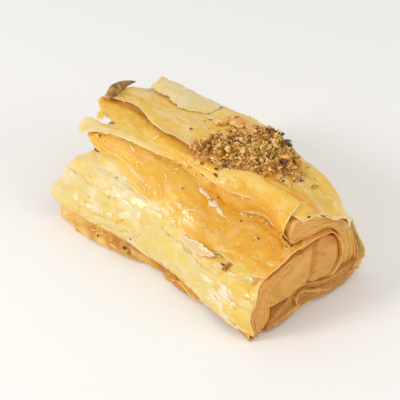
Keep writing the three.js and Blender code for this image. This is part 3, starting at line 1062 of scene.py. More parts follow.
class BaklavaStageSettings(bpy.types.PropertyGroup):
    """The floor, the lights and the camera"""

    floor: tint("Floor", "Colour of the floor", 250, 250, 249)
    key: bpy.props.FloatProperty(
        name="Key light", description="Power of the key light", default=1.5, min=0, subtype="POWER"
    )
    fill: bpy.props.FloatProperty(
        name="Fill light", description="Power of the fill light", default=0.45, min=0, subtype="POWER"
    )
    sky: bpy.props.FloatProperty(name="Sky", description="Strength of the pale sky", default=0.7, min=0)
    azimuth: bpy.props.FloatProperty(
        name="Camera azimuth", description="Turn of the camera round the piece", default=math.radians(46),
        subtype="ANGLE",
    )
    elevation: bpy.props.FloatProperty(
        name="Camera elevation", description="Height angle of the camera", default=math.radians(36),
        subtype="ANGLE",
    )
    distance: length("Camera distance", "Distance from the camera to the piece", 0.441, 0.1, 2.0)
    lens: bpy.props.FloatProperty(name="Lens", description="Focal length", default=135, min=20, unit="CAMERA")


# ---------------------------------------------------------------- geometry nodes


def random_value(tree, seed, low, high, offset, kind="FLOAT"):
    """A random value from low to high for each element."""
    made = node(tree, "FunctionNodeRandomValue", data_type=kind)
    first, result = (0, 0) if kind == "FLOAT_VECTOR" else (2, 1)
    for index, value in ((first, low), (first + 1, high)):
        fed(tree, made.inputs[index], value)
    fed(tree, made.inputs["Seed"], plus(tree, seed, offset))
    return made.outputs[result]


def turned_by(tree, low, high, seed):
    """A random rotation for each element."""
    angles = random_value(tree, seed, low, high, 9, "FLOAT_VECTOR")
    return node(tree, "FunctionNodeEulerToRotation", {0: angles}).outputs[0]


def pushed(tree, place, scale, far):
    """How noise pushes each point, by up to half of far each way."""
    pattern = node(tree, "ShaderNodeTexNoise", {"Vector": place, "Scale": scale, "Detail": 1.0})
    centred = vector_maths(tree, "SUBTRACT", pattern.outputs["Color"], (0.5, 0.5, 0.5))
    return vector_maths(tree, "SCALE", centred, far)


def spread(tree, given, bed, share):
    """Random points on a bed, as dense as a share of the given density."""
    named = node(tree, "GeometryNodeInputNamedAttribute", {"Name": share}, data_type="FLOAT").outputs[0]
    points = node(tree, "GeometryNodeDistributePointsOnFaces", {
        "Mesh": given[bed], "Density": times(tree, given["Density"], named), "Seed": given["Seed"]
    })
    return points, named


def realized(tree, instances, offset):
    """Makes instances real and moves each point by what offset gives for its place."""
    real = node(tree, "GeometryNodeRealizeInstances", {0: instances.outputs[0]})
    place = tree.nodes.new("GeometryNodeInputPosition").outputs[0]
    return node(tree, "GeometryNodeSetPosition", {"Geometry": real.outputs[0], "Offset": offset(place)})


def finish_tree(tree, geometry, material):
    """Ends a tree in its material."""
    finished = node(tree, "GeometryNodeSetMaterial", {0: geometry.outputs[0], "Material": material})
    node(tree, "NodeGroupOutput", {0: finished.outputs[0]})
    return tree


def flake_tree():
    """Geometry Nodes: thin torn flakes that lie along a sheet."""
    tree, given = new_tree("torn_flakes", "GeometryNodeTree", {
        "Sheet": "Geometry", "Density": "Float", "Smallest": "Float", "Largest": "Float", "Lift": "Float",
        "Seed": "Int", "Material": "Material",
    }, {"Flakes": "Geometry"})
    points, _ = spread(tree, given, "Sheet", "top")
    facing = node(tree, "FunctionNodeAlignRotationToVector", {"Vector": points.outputs["Normal"]}, axis="Z")
    along = node(tree, "FunctionNodeAlignRotationToVector", {
        "Rotation": facing.outputs[0], "Vector": (1, 0, 0)
    }, axis="X", pivot_axis="Z")
    shell = node(tree, "GeometryNodeMeshCube", {
        "Size": (1, 1, 0.05), "Vertices X": 6, "Vertices Y": 5, "Vertices Z": 2
    })
    long = random_value(tree, given["Seed"], given["Smallest"], given["Largest"], 5)
    shape = random_value(tree, given["Seed"], (0.8, 0.12, 1), (1.9, 0.36, 1), 7, "FLOAT_VECTOR")
    flat = vector_maths(tree, "MULTIPLY", vector_maths(tree, "SCALE", shape, long), (1, 1, 0))
    flakes = node(tree, "GeometryNodeInstanceOnPoints", {
        "Points": points.outputs["Points"], "Instance": shell.outputs["Mesh"], "Rotation": along.outputs[0],
        "Scale": vector_maths(tree, "ADD", flat, (0, 0, 2 * MM)),
    })
    turn = turned_by(tree, (-0.08, -0.08, -0.8), (0.08, 0.08, 0.8), given["Seed"])
    turned = node(tree, "GeometryNodeRotateInstances", {"Instances": flakes.outputs[0], "Rotation": turn})
    up = node(tree, "ShaderNodeCombineXYZ", {"Z": given["Lift"]}).outputs[0]
    lifted = node(tree, "GeometryNodeTranslateInstances", {"Instances": turned.outputs[0], "Translation": up})
    ragged_edge = realized(tree, lifted, lambda place: vector_maths(
        tree, "ADD", pushed(tree, place, 260.0, 1.0 * MM), pushed(tree, place, 900.0, 0.6 * MM)
    ))
    smooth_faces = node(tree, "GeometryNodeSetShadeSmooth", {0: ragged_edge.outputs[0], "Shade Smooth": True})
    return finish_tree(tree, smooth_faces, given["Material"])


def scatter_tree():
    """Geometry Nodes: loose bits over a bed, each with its own size, turn and broken shape."""
    tree, given = new_tree("scattered_bits", "GeometryNodeTree", {
        "Bed": "Geometry", "Density": "Float", "Smallest": "Float", "Largest": "Float", "Flatness": "Float",
        "Pile": "Float", "Seed": "Int", "Material": "Material",
    }, {"Bits": "Geometry"})
    points, share = spread(tree, given, "Bed", "share")
    up = times(tree, times(tree, random_value(tree, given["Seed"], 0.0, 1.0, 3), given["Pile"]), share)
    raised = node(tree, "ShaderNodeCombineXYZ", {"Z": up}).outputs[0]
    lifted = node(tree, "GeometryNodeSetPosition", {"Geometry": points.outputs["Points"], "Offset": raised})
    bit = node(tree, "GeometryNodeMeshIcoSphere", {"Radius": 0.5, "Subdivisions": 1})
    small = maths(tree, "POWER", random_value(tree, given["Seed"], 0.0, 1.0, 5), 2.2)
    span = maths(tree, "SUBTRACT", given["Largest"], given["Smallest"])
    width = plus(tree, given["Smallest"], times(tree, small, span))
    shape = random_value(tree, given["Seed"], (0.65, 0.5, 0.4), (1.3, 1.0, 0.8), 7, "FLOAT_VECTOR")
    thin = node(tree, "ShaderNodeCombineXYZ", {"X": 1.0, "Y": 1.0, "Z": given["Flatness"]}).outputs[0]
    bits = node(tree, "GeometryNodeInstanceOnPoints", {
        "Points": lifted.outputs[0], "Instance": bit.outputs["Mesh"],
        "Scale": vector_maths(tree, "SCALE", vector_maths(tree, "MULTIPLY", shape, thin), width),
        "Rotation": turned_by(tree, (-0.6, -0.6, 0.0), (0.6, 0.6, 6.28), given["Seed"]),
    })
    far = times(tree, given["Largest"], 0.5)
    chipped = realized(tree, bits, lambda place: pushed(tree, place, 2000.0, far))
    return finish_tree(tree, chipped, given["Material"])


def grown(name, obj, tree, values):
    """One plain mesh object that a Geometry Nodes tree makes from another object."""
    modifier = obj.modifiers.new(name, "NODES")
    modifier.node_group = tree
    for item in tree.interface.items_tree:
        if item.item_type == "SOCKET" and item.name in values:
            modifier[item.identifier] = values[item.name]
    depsgraph = bpy.context.evaluated_depsgraph_get()
    mesh = bpy.data.meshes.new_from_object(obj.evaluated_get(depsgraph), depsgraph=depsgraph)
    obj.modifiers.remove(modifier)
    mesh.name = name
    return added(name, mesh)


def flaked(name, obj, density, seed):
    """Lays torn flakes over a sheet, density to a square centimetre."""
    tree = bpy.data.node_groups.get("torn_flakes") or flake_tree()
    flakes = grown(name, obj, tree, {
        "Density": density * PER_SQUARE_CM, "Smallest": 0.4 * MM, "Largest": 2.6 * MM, "Lift": 0.03 * MM,
        "Seed": seed, "Material": material_from("phyllo_flake", flake_skin),
    })
    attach(flakes, BODY)


# ---------------------------------------------------------------- pastry


class BaklavaStep(bpy.types.Operator):
    """What the steps of the build share"""

    bl_options = {"REGISTER", "UNDO"}


def pastry(obj, kind):
    """Finishes a piece of pastry made of one kind of phyllo."""
    placed(obj, phyllo(kind))


class BAKLAVA_OT_core(BaklavaStep):
    """Makes the dense inner layers with the filling's tunnel"""

    bl_idname = "baklava.core"
    bl_label = "Inner layers"

    def execute(self, context):
        placed(build_core(), phyllo("core"), "pastry")
        return {"FINISHED"}


# How the inner sheets run at each cut end, as (y, z): from the top fold over the far wall and back under the
# filling, and up the near side.
RIGHT_OUTER = [
    (-5.4, 24.8), (-4.9, 27), (-3.1, 29.4), (0.2, 29.5), (3.4, 28.6), (7, 26.9), (10.6, 25), (13.8, 22.6),
    (16.8, 18.9), (19.4, 13.6), (21, 8.6), (21.6, 4.2), (19.4, 1.2), (8, 0.9), (-6, 0.9), (-16, 1),
    (-20, 1.2),
]
RIGHT_INNER = [
    (-5.6, 24.2), (-5, 23.9), (-4.2, 23.6), (-2, 23.4), (0.4, 23.4), (5.5, 23.4), (8, 22.8), (10.6, 21.2),
    (13.6, 17.7), (15.4, 13.3), (15.6, 9), (14.4, 6.6), (11.6, 5.6), (5.4, 5.6), (-2, 5.6), (-9, 5),
    (-15, 4.4),
]
NEAR_RIGHT_OUTER = [
    (-21.8, 0.9), (-23.4, 5), (-23.6, 9), (-22, 13.2), (-18.4, 17.2), (-12, 18.8), (-6, 20.4),
]
NEAR_RIGHT_INNER = [
    (-16, 2), (-15.9, 5.4), (-15.8, 9), (-15.2, 12.6), (-12.4, 15), (-7.4, 17.4), (-2, 19.6),
]
LEFT_OUTER = [
    (-2, 30.6), (4, 30.6), (9, 30.4), (14, 30), (18.6, 28.6), (20.6, 22), (21.4, 13.6), (21.4, 7),
    (19.8, 2), (8, 0.9), (-6, 0.9), (-16, 1), (-21.2, 1.2),
]
LEFT_INNER = [
    (0.4, 22.3), (5.5, 22.9), (8, 22.4), (10.4, 21), (13.4, 17.5), (15.4, 13.3), (15.8, 8.8), (14.6, 6),
    (11.6, 4.6), (5.4, 4.6), (-2, 4.4), (-10, 3.2), (-20.2, 2.4),
]
LOOP = [
    (-4.5, 22.2), (-1.9, 22.6), (0.8, 22.6), (4.9, 22.1), (8.8, 21), (11.6, 17.9), (13.2, 12.5),
    (12.9, 8.8), (10.6, 6.4), (7, 5.9), (3, 6.9),
]
BASE_CUT = [(-17.4, 0.7), (-13, 0.6), (-7, 0.6), (-1, 1.2), (4, 0.6), (10, 0.5), (16, 0.6), (21, 1.2)]
BASE_TOP = [(-15.8, 2.6), (-12.6, 5.6), (-8, 7.2), (-2, 8), (4, 6.8), (9, 5.8), (15, 5.4), (20, 4.8)]
NEAR_OUTER = [(-21, 1.2), (-21, 3.6), (-21.6, 8.2), (-18.6, 12), (-15.2, 15), (-11, 16), (-6, 17.6)]
NEAR_INNER = [(-19, 3.6), (-19, 4.6), (-19.2, 8), (-16.6, 11), (-13, 13.4), (-7.2, 15), (1.5, 17.6)]
UNDER_FOLD = [
    (-15, 1.4), (-9, 2.1), (-5, 3.3), (-5.8, 5), (-4.8, 6.6), (-3, 6.6), (-1, 5.4), (4.9, 2.8),
    (8.4, 1.7), (13.4, 1.5), (17.5, 3), (19.6, 6),
]
UNDER_FOLD_TOP = [(y + 0.5, z + 0.8) for y, z in UNDER_FOLD]
# How far each stretch of the base's layers reaches at the right cut, along x.
BASE_REACH = [40.6, 41.2, 40.4, 39.7, 41.2, 41.5, 41.2, 40]

# The cut layers: their phyllo, two paths and number, where they end and start along x, the seed, the bake
# from and to, the thickness, and how unevenly they end.
LEFT_REACH = (-39.0, -32.5)
CUT_LAYERS = (
    ("layers_right", "inner", RIGHT_OUTER, RIGHT_INNER, 11, (39.2, 35.0), 60, (0.5, 1.0), 3.0, 0.25),
    ("near_layers_right", "inner", NEAR_RIGHT_OUTER, NEAR_RIGHT_INNER, 8, (40.1, 36.0), 66, (0.8, 1.1), 4.0,
     0.1),
    ("layers_left", "inner", LEFT_OUTER, LEFT_INNER, 7, LEFT_REACH, 80, (0.55, 1.0), 1.0, 0.7),
    ("near_layers_left", "inner", NEAR_OUTER, NEAR_INNER, 3, LEFT_REACH, 90, (0.55, 1.0), 1.0, 0.7),
    ("base_layers_right", "base", BASE_CUT, BASE_TOP, 9, (BASE_REACH, 34.0), 92, (0.4, 0.9), 1.9, 0.5),
    ("under_fold", "crust", UNDER_FOLD, UNDER_FOLD_TOP, 2, (41.2, 33.0), 95, (0.3, 0.8), 1.0, 0.7),
)
STRIP_PITCH = 0.42
FOLD_DRAWN = 1.5


def end_strips(name, outer, inner, count, reach, seed, bake, thick, uneven):
    """Ragged ends of the inner sheets at one cut: strips spread between two paths.

    reach says where they end and where they start along x; where they end may change along the paths.
    """
    outer = np.array(outer, float)
    inner = np.array(inner, float)
    along = np.linspace(0, 4, len(outer))
    tip, root = np.array(reach[0], float), reach[1]
    strips = []
    for n in range(count):
        share = (n + 0.5) / count + 0.42 / count * noise(along, 0 * along + n * 0.37, seed)
        path = outer + (inner - outer) * share[:, None]
        x = tip + uneven * noise(along * 1.7, 0 * along + n, seed + 3) * np.sign(root - tip)
        folded = step(FOLD_LOW, FOLD_HIGH, path[:, 1]) * (1 - step(-3, 2, path[:, 0])) * (root > 0)
        x = x - FOLD_DRAWN * folded
        rows = [sorted([(a, y, z), (root, y, z)]) for a, (y, z) in zip(x, path)]
        toasted = bake[0] + (bake[1] - bake[0]) * hashed(n, 0, seed)
        strips.append(sheet(
            f"{name}_{n}", rows, [[toasted]], seed + n, tears=(0.7, 0.7, 0.6, 0.6),
            rough=0.4, thick=thick, pitch=STRIP_PITCH, rim=0.08, blunt=True,
        ))
    return joined(name, strips)


class BAKLAVA_OT_layers(BaklavaStep):
    """Lays the ends of the inner sheets that show at both cuts"""

    bl_idname = "baklava.layers"
    bl_label = "Cut layers"

    def execute(self, context):
        for name, kind, *shape in CUT_LAYERS:
            pastry(end_strips(name, *shape), kind)
        loop = [[(33, y, z), (40.7, y, z)] for y, z in LOOP]
        around_left = filling_rows(0.45, (-39.6, -32.5))[2:10]
        rolls = [
            sheet(f"roll_{n}", rows, [[0.4]], 100 + n, tears=(0.3, 0.5, 0.6, 1), rough=0.4, thick=1.1,
                  pitch=STRIP_PITCH)
            for n, rows in enumerate((loop, around_left))
        ]
        pastry(joined("roll_sheets", rolls), "inner")
        return {"FINISHED"}


class BAKLAVA_OT_top_sheets(BaklavaStep):
    """Lays the top leaf and the shorter leaf on its far edge"""

    bl_idname = "baklava.top_sheets"
    bl_label = "Top sheets"

    def execute(self, context):
        rows = [HAUNCH, RIDGE, DIP, MIDDLE, TOP_INSIDE, shifted(TOP_EDGE, dz=0.2)]
        tones = [[0.3, 0.3, 0.4], [0.2, 0.35, 0.5], [0.3, 0.4, 0.6], [0.5, 0.5, 0.6]]
        leaf = sheet("top_leaf", rows, tones, 3, tears=(1.2, 2.0, 1, 0.8), rough=0.8, lift=0.4, flutter=0.3)
        flaked("flakes_top", leaf, 3, 70)
        pastry(leaf, "top")
        pastry(scraps("top_films", rows, tones, 3, places(9, 3), 0.4, 0.8, 0.15), "film")
        rows = [shifted(HAUNCH[:3], dy=0.4), RIDGE[:4], BACK_EDGE]
        back = sheet("back_leaf", rows, [[0.4], [0.2, 0.5], [0.3, 0.6]], 3, span=(-39, -12), tear_seed=29,
                     tears=(5, 3, 1, 3.4), rough=0.8, lift=0.5, flutter=0.05, thick=0.4, rim=0.4, sink=0.09)
        pastry(back, "thin")
        return {"FINISHED"}


class BAKLAVA_OT_far_wall(BaklavaStep):
    """Lays the sheet folded down the far wall, with the loose one over it"""

    bl_idname = "baklava.far_wall"
    bl_label = "Far wall"

    def execute(self, context):
        wall = [MIDDLE, DIP, RIDGE, HAUNCH, WALL, HEEL, BASE_FAR]
        pastry(sheet("far_wall", wall, [[0.2], [0.2]], 4, tears=(2, 2.0, 1, 1.5)), "top")
        loose = [shifted(RIDGE, dx=1.8, dy=0.5, dz=-3.2)] + [shifted(row, dx=1.8, dy=0.4) for row in wall[3:]]
        flap = sheet("far_wall_flap", loose, [[0.0], [0.0]], 6, tears=(6, 3.6, 0, 3), rough=1.1, lift=0.1,
                     flutter=0.8, thick=0.6)
        # The loose flap takes the pale thin phyllo, partly for its own thinness and partly as painted light,
        # as it faces away from the lamps.
        pastry(flap, "thin")
        return {"FINISHED"}


# Patches of shards, as (share across, share along, height, length, where they are widest): near-white ones,
# partly dry torn flakes and partly painted highlights where the syrup glints, and creamy pearl ones, partly
# the sheet's own paler patches and partly a painted highlight.
NEAR_GLINT_SHARDS = (
    (0.31, 0.755, 0.2, 0.13, 0.3), (0.27, 0.69, 0.16, 0.1, 0.6), (0.25, 0.81, 0.22, 0.13, 0.5),
    (0.85, 0.5, 0.2, 0.12, 0.3), (0.84, 0.54, 0.14, 0.1, 0.7), (0.3, 0.24, 0.14, 0.09, 0.5),
    (0.62, 0.38, 0.2, 0.12, 0.4), (0.5, 0.46, 0.14, 0.1, 0.5), (0.45, 0.9, 0.2, 0.12, 0.3),
    (0.14, 0.9, 0.16, 0.14, 0.5), (0.12, 0.72, 0.14, 0.14, 0.5), (0.7, 0.9, 0.18, 0.12, 0.4),
    (0.2, 0.6, 0.12, 0.1, 0.4), (0.36, 0.86, 0.14, 0.1, 0.6), (0.7, 0.52, 0.12, 0.1, 0.5),
)
NEAR_PEARL_HIGHLIGHTS = ((0.66, 0.29, 0.4, 0.22, 0.5), (0.5, 0.2, 0.2, 0.18, 0.4))
LOWER_GLINT_SLIVERS = [
    (0.33, 0.55, 0.16, 0.07, 0.4), (0.36, 0.6, 0.2, 0.06, 0.5), (0.4, 0.635, 0.18, 0.06, 0.6),
    (0.43, 0.66, 0.12, 0.05, 0.4),
]
LOWER_GLINT_SHARDS = (
    (0.95, 0.76, 0.1, 0.06, 0.5), (0.8, 0.86, 0.16, 0.07, 0.4), (0.9, 0.9, 0.12, 0.06, 0.5),
    (0.3, 0.71, 0.12, 0.05, 0.4), (0.95, 0.83, 0.1, 0.07, 0.5), (0.74, 0.36, 0.12, 0.06, 0.5),
    (0.86, 0.55, 0.12, 0.07, 0.6), (0.7, 0.96, 0.14, 0.06, 0.5),
)


class BAKLAVA_OT_near_side(BaklavaStep):
    """Lays the near side: two sheets, films, near-white and pearly shards that are partly painted highlights,
    and the torn flap low on it
    """

    bl_idname = "baklava.near_side"
    bl_label = "Near side"

    def execute(self, context):
        rows = [cornered(row) for row in (HEM, SIDE, UPPER)] + [SHOULDER, UNDER]
        tones = [[0.1, 0.3, 0.4, 0.5, 0.75], [-0.1, 0.1, 0.28, 0.45, 0.7], [-0.1, 0.15, 0.35, 0.55, 0.75]]
        near = sheet("near_side", rows, tones, 5, tears=(4.4, 1.4, 2.2, 1), flutter=0.3)
        flaked("flakes_near", near, 7, 71)
        pastry(near, "side")
        pastry(scraps("near_films", rows, tones, 5, places(16, 5)), "film")
        dry, pearl_highlights = splinters(NEAR_GLINT_SHARDS, 44), splinters(NEAR_PEARL_HIGHLIGHTS, 46, 7)
        # Near-white shards, partly dry flakes and partly painted glints.
        pastry(scraps("near_bright", rows, [[0, 0.1, 0.1]] * 2, 5, dry, shade=0.2, up=(0.1, 0.35)), "frosted")
        # Creamy pearl patches, partly the sheet's own colour and partly a painted highlight on the near
        # side's bulge.
        pastry(scraps("near_pearl", rows, [[0, 0.1, 0.2]] * 2, 5, pearl_highlights, up=(0.02, 0.06)), "pearl")
        flare = [shifted(row, dx=-1.2) for row in (HEM, SIDE, UPPER, SHOULDER)]
        low = sheet("near_side_low", flare, [[0.2, 0.2, 0.3], [-0.05, 0.1, 0.2]], 5, span=(-44.2, 33),
                    tears=(4.5, 3, 2.4, 5), lift=0.2, flutter=0.05, thick=0.4, rim=0.4, sink=0.17)
        pastry(low, "side")
        edge = [(4.5, -19.0, 15), (8, -18.9, 14.2), (12, -19.1, 13.6), (17, -19.2, 13.8), (22, -18.5, 16)]
        root = [(5.5, -17.8, 16.8), (9, -17.4, 17.8), (13, -17.3, 18.2), (18, -17.2, 18.4),
                (22.6, -17.6, 17.6)]
        flap = sheet("torn_flap", [root, between(root, edge, 0.5, 0.1), edge], [[0.3], [0.1]], 10,
                     tears=(4, 4, 2, 2.4), rough=1.4, lift=0.15, flutter=0.3, thick=0.5, rim=1.2, sink=0.13)
        pastry(flap, "clear")
        return {"FINISHED"}


class BAKLAVA_OT_lower_leaf(BaklavaStep):
    """Lays the leaf that runs down over the filling, with its near-white slivers, partly dry flakes and
    partly painted glints
    """

    bl_idname = "baklava.lower_leaf"
    bl_label = "Lower leaf"

    def execute(self, context):
        rows = [shifted(CREASE, dy=4, dz=0.3), CREASE, RAMP, LOWER_EDGE]
        tones = [[0.7, 0.75, 0.9, 1.0], [0.75, 0.8, 0.9, 1.15], [0.75, 0.75, 0.8, 0.9], [0.6, 0.6, 0.6, 0.6]]
        lower = sheet("lower_leaf", rows, tones, 12, tears=(0.8, 0.3, 0, 1.8), rough=0.8, lift=0.2,
                      flutter=0.3)
        flaked("flakes_lower", lower, 4, 72)
        pastry(lower, "leaf")
        pastry(scraps("lower_films", rows, tones, 12, places(11, 12), 0.2, 0.8), "film")
        dry = LOWER_GLINT_SLIVERS + splinters(LOWER_GLINT_SHARDS, 45, 3)
        # Near-white slivers and shards, partly dry flakes and partly painted glints.
        bright = scraps("lower_bright", rows, [[0, 0.1, 0.1]] * 2, 12, dry, 0.2, 0.8, 0.2, (0.2, 0.45))
        pastry(bright, "frosted")
        return {"FINISHED"}


class BAKLAVA_OT_middle_leaf(BaklavaStep):
    """Lays the leaf over the crease, with the tongue and the flake that stick out at its left end"""

    bl_idname = "baklava.middle_leaf"
    bl_label = "Middle leaf"

    def execute(self, context):
        rows = [MIDDLE_ROOT, MIDDLE_TOP, between(MIDDLE_TOP, MIDDLE_EDGE, 0.5, 0.3), MIDDLE_EDGE]
        # The root rows, which lie under the top leaf's edge, are more toasted, partly syrup-rich and partly
        # painted shade under that edge.
        tones = [[0.7, 0.8, 0.85], [0.6, 0.85, 0.85], [0.35, 0.65, 0.7], [0.0, 0.5, 0.7]]
        bite = ((0, 0), (0.3, 0), (0.42, 0.3), (0.52, 1.6), (0.6, 3), (0.68, 6), (0.73, 9), (0.79, 8.5),
                (0.84, 1.5), (1, 0))
        middle = sheet("middle_leaf", rows, tones, 13, tears=(1.4, 1, 0, 0.8), rough=0.7, lift=0.1,
                       flutter=0.3, curl=0.2, bite=bite)
        flaked("flakes_middle", middle, 2, 73)
        pastry(middle, "leaf")
        clear_of_bite = [spot for spot in places(9, 13) if spot[1] > 0.2]
        pastry(scraps("middle_films", rows, tones, 13, clear_of_bite, 0.1, 0.7), "film")
        root = [(-40.6, -11, 30.4), (-38, -9.7, 30.2), (-34, -9, 29.6), (-29.5, -8, 29.2)]
        tip = [(-39.6, -14.6, 29.3), (-36.8, -12.4, 29.6), (-33.6, -11, 29.2), (-29.2, -9.6, 29)]
        edge = [(-37.3, -17.6, 27.4), (-35.4, -14.8, 28), (-33, -12.8, 28.5), (-29, -11, 28.4)]
        tongue = sheet("tongue", [root, tip, edge], [[0.0], [-0.2]], 17, tears=(2.6, 2, 1.2, 1.2), rough=0.8,
                       lift=0.4, flutter=0.2, thick=0.4)
        pastry(tongue, "thin")
        tip = [(-38.6, -8.6, 31.6), (-36.6, -8.2, 31.6), (-34.6, -8, 31.2)]
        edge = [(-38, -10.2, 30.8), (-36, -10.4, 30.4), (-34.4, -9.6, 30.2)]
        flake = sheet("corner_flake", [shifted(tip, dy=1.2), tip, edge], [[0.5], [0.7]], 18,
                      tears=(1.8, 0.2, 0.2, 1.4), rough=0.8, lift=0.2, flutter=0.3, thick=0.4)
        pastry(flake, "leaf")
        return {"FINISHED"}


class BAKLAVA_OT_fold(BaklavaStep):
    """Lays the short leaf under the top one, the thick fold at its right end and the flap on that"""

    bl_idname = "baklava.fold"
    bl_label = "Top fold"

    def execute(self, context):
        span = (-4, 30)
        rows = [
            between(MIDDLE_ROOT, MIDDLE_TOP, 0.4, span=span),
            between(MIDDLE_TOP, MIDDLE_EDGE, 0.12, 0.1, span=span),
            between(MIDDLE_TOP, MIDDLE_EDGE, 0.62, 0.9, span=span),
        ]
        short = sheet("upper_leaf", rows, [[0.7, 0.8], [0.6, 0.7]], 14, tears=(3, 2, 0, 1.2), rough=0.7,
                      lift=0.2, flutter=0.3, curl=0.2)
        pastry(short, "leaf")
        rows = [shifted(FOLD_CREST, dy=2.2, dz=-1.8), FOLD_CREST, FOLD_NOSE, FOLD_EDGE, FOLD_UNDER]
        tones = [[0.4, 0.55], [0.45, 0.6], [0.6, 0.75], [0.8, 0.9], [0.9, 0.9]]
        fold = sheet("top_fold", rows, tones, 15, tears=(5, 0.6, 0.8, 0.8), rough=0.6, lift=0.1, flutter=0.2)
        flaked("flakes_fold", fold, 3, 74)
        pastry(fold, "leaf")
        rows = [
            [(35.2, -3.6, 29.8), (35.3, -2, 31.5), (35.4, 0.2, 32.7), (35, 4, 31.4)],
            [(37.4, -2.9, 29.5), (37.8, -1.4, 30.4), (38, 0.6, 31.1), (38, 4.4, 29.6)],
            [(39, -2.4, 29.0), (39.8, -0.9, 29.4), (40.4, 1.4, 29.1), (40.6, 5, 27.6)],
        ]
        flap = sheet("fold_flap", rows, [[0.6], [0.85]], 16, tears=(1, 1, 0, 1.2), rough=0.6, lift=0.1,
                     flutter=0.2)
        pastry(flap, "top")
        return {"FINISHED"}


# The ragged sheets of the foot: how far they stand out, how high they lie, how baked they are, and their
# span.
CRUST_SHEETS = (
    (1.0, 0.5, 0.9, (-41.5, 40)), (1.4, 1.5, 0.4, (-41.5, 40)), (1.5, 2.5, 0.1, (-42, -4)),
    (1.3, 3.6, 0.5, (-42, -4)),
)


class BAKLAVA_OT_crust(BaklavaStep):
    """Lays the browned sheets of the base with their ragged foot, darkest just under the hem, partly as
    painted shadow
    """

    bl_idname = "baklava.crust"
    bl_label = "Base crust"

    def execute(self, context):
        foot_in = shifted(FOOT, dy=3)
        band = [foot_in, shifted(FOOT, dz=0.1), shifted(FOOT, dy=-0.2, dz=2), shifted(HEM, dy=0.5, dz=1.4)]
        # The row just under the hem is browned, partly real browning and partly painted shadow of the near
        # side's hem.
        tones = [[0.0, 0.8, 1.1], [0.1, 0.9, 1.1], [1.2, 1.5, 1.3]]
        sheets = [sheet("crust_band", band, tones, 108, tears=(3, 0.8, 0.2, 0.4), rough=1.8)]
        for n, (out, up, bake, span) in enumerate(CRUST_SHEETS):
            inner = shifted(FOOT, dx=-0.5, dy=3.5, dz=0.4 + 0.8 * up)
            edge = shifted(FOOT, dx=-0.5, dy=-out, dz=up)
            rows = [inner, between(inner, edge, 0.7), edge]
            sheets.append(sheet(
                f"crust_{n}", rows, [[bake - 0.5, bake + 0.2, bake]], 110 + n, span=span,
                tears=(3.5, 0.8, 1, 3.0), rough=1.4, flutter=1.2, thick=0.7,
            ))
        bottom = [shifted(BASE_FAR, dz=0.2), BASE_MID, foot_in]
        sheets.append(sheet("crust_base", bottom, [[1.1], [1.3]], 117, tears=(2, 1, 0.5, 1), rough=0.3,
                            thick=1.5, pitch=0.6))
        pastry(joined("base_crust", sheets), "crust")
        return {"FINISHED"}


# ---------------------------------------------------------------- filling


# The middle of the filling's cut faces, as (y, z), and of the fold across the right one, with its slope.
FACE_CENTRE = (-4.0, 10.5)
GROOVE_AT, GROOVE_SLOPE, GROOVE_DEEP = (-1, 9.5), 0.24, 0.8
# The rim of the right cut face that is painted darker as shade: its middle, as (y, z), and half sizes.
RIM_CENTRE, RIM_SIZE = (-1, 12.4), (13.6, 7.2)


def cap(ring, sign, rings, seed):
    """The points of a bulging cut face, from its rim in towards its middle."""
    centre = np.array([[ring[0, 0], *FACE_CENTRE]])
    shares = np.linspace(1, 0.02, rings)[1:]
    face = ring[:, None] + (centre[:, None] - ring[:, None]) * (1 - shares)[None, :, None]
    bulge = 1.7 * (1 - shares**4)[None, :] + 0.6 * noise(face[..., 1] / 5, face[..., 2] / 4, seed)
    bulge = bulge + 0.16 * noise(face[..., 1] / 1.4, face[..., 2] / 1, seed + 4)
    face[..., 0] += sign * bulge
    return face


def grooved(points):
    """Presses a fold into the right cut face, and says how deep each point lies in it, from 0 to 1."""
    x, y, z = points.T
    from_fold = y - GROOVE_AT[0] - GROOVE_SLOPE * (z - GROOVE_AT[1]) + 0.5 * noise(z / 2.5, 0 * z, 54)
    groove = np.exp(-((from_fold / 0.9) ** 2)) * step(39, 39.6, x)
    points[:, 0] -= GROOVE_DEEP * groove
    return groove


def cracked_and_shaded(points, groove):
    """How dark each point is: in the cracks, and as painted shade along the far rim of the right cut face and
    in its fold.
    """
    y, z = points[:, 1], points[:, 2]
    crack = 1 - step(0.02, 0.1, np.abs(noise(y / 4, z / 1.5, 51)))
    crack = crack * step(0.0, 0.3, noise(y / 5, z / 5, 52))
    far = np.hypot((y - RIM_CENTRE[0]) / RIM_SIZE[0], (z - RIM_CENTRE[1]) / RIM_SIZE[1])
    # Painted shade along the far rim and in the fold.
    crack = np.maximum(crack, 0.75 * step(0.82, 1.05, far) * step(2, 9, y))
    return np.maximum(crack, 0.6 * groove)


class BAKLAVA_OT_filling(BaklavaStep):
    """Makes the cream filling with its cut faces"""

    bl_idname = "baklava.filling"
    bl_label = "Filling"

    def execute(self, context):
        around, along, rings = 160, 60, 26
        body = closed_ring(filling_rows(), FILLING_SPAN, around, along)
        if ring_area(body[:, 0]) < 0:
            body = body[::-1]
        left, right = cap(body[:, 0], -1, rings, 40), cap(body[:, -1], 1, rings, 39)
        loop = np.concatenate([left[:, ::-1], body, right], axis=1)
        columns = loop.shape[1]
        poles = loop[:, [0, -1]].mean(axis=0)
        points = np.concatenate([loop.reshape(-1, 3), poles])
        first = np.arange(around) * columns
        fans = fan(first, around * columns, True) + fan(first + columns - 1, around * columns + 1, False)
        faces = quads(around, columns, ringed=(True, False))[:, FLIPPED]
        groove = grooved(points)
        crack = cracked_and_shaded(points, groove)
        obj = capped_object("cream_filling", points, faces, fans, {"crack": crack})
        placed(obj, material_from("set_cream", cream), "filling")
        return {"FINISHED"}


# ---------------------------------------------------------------- nuts


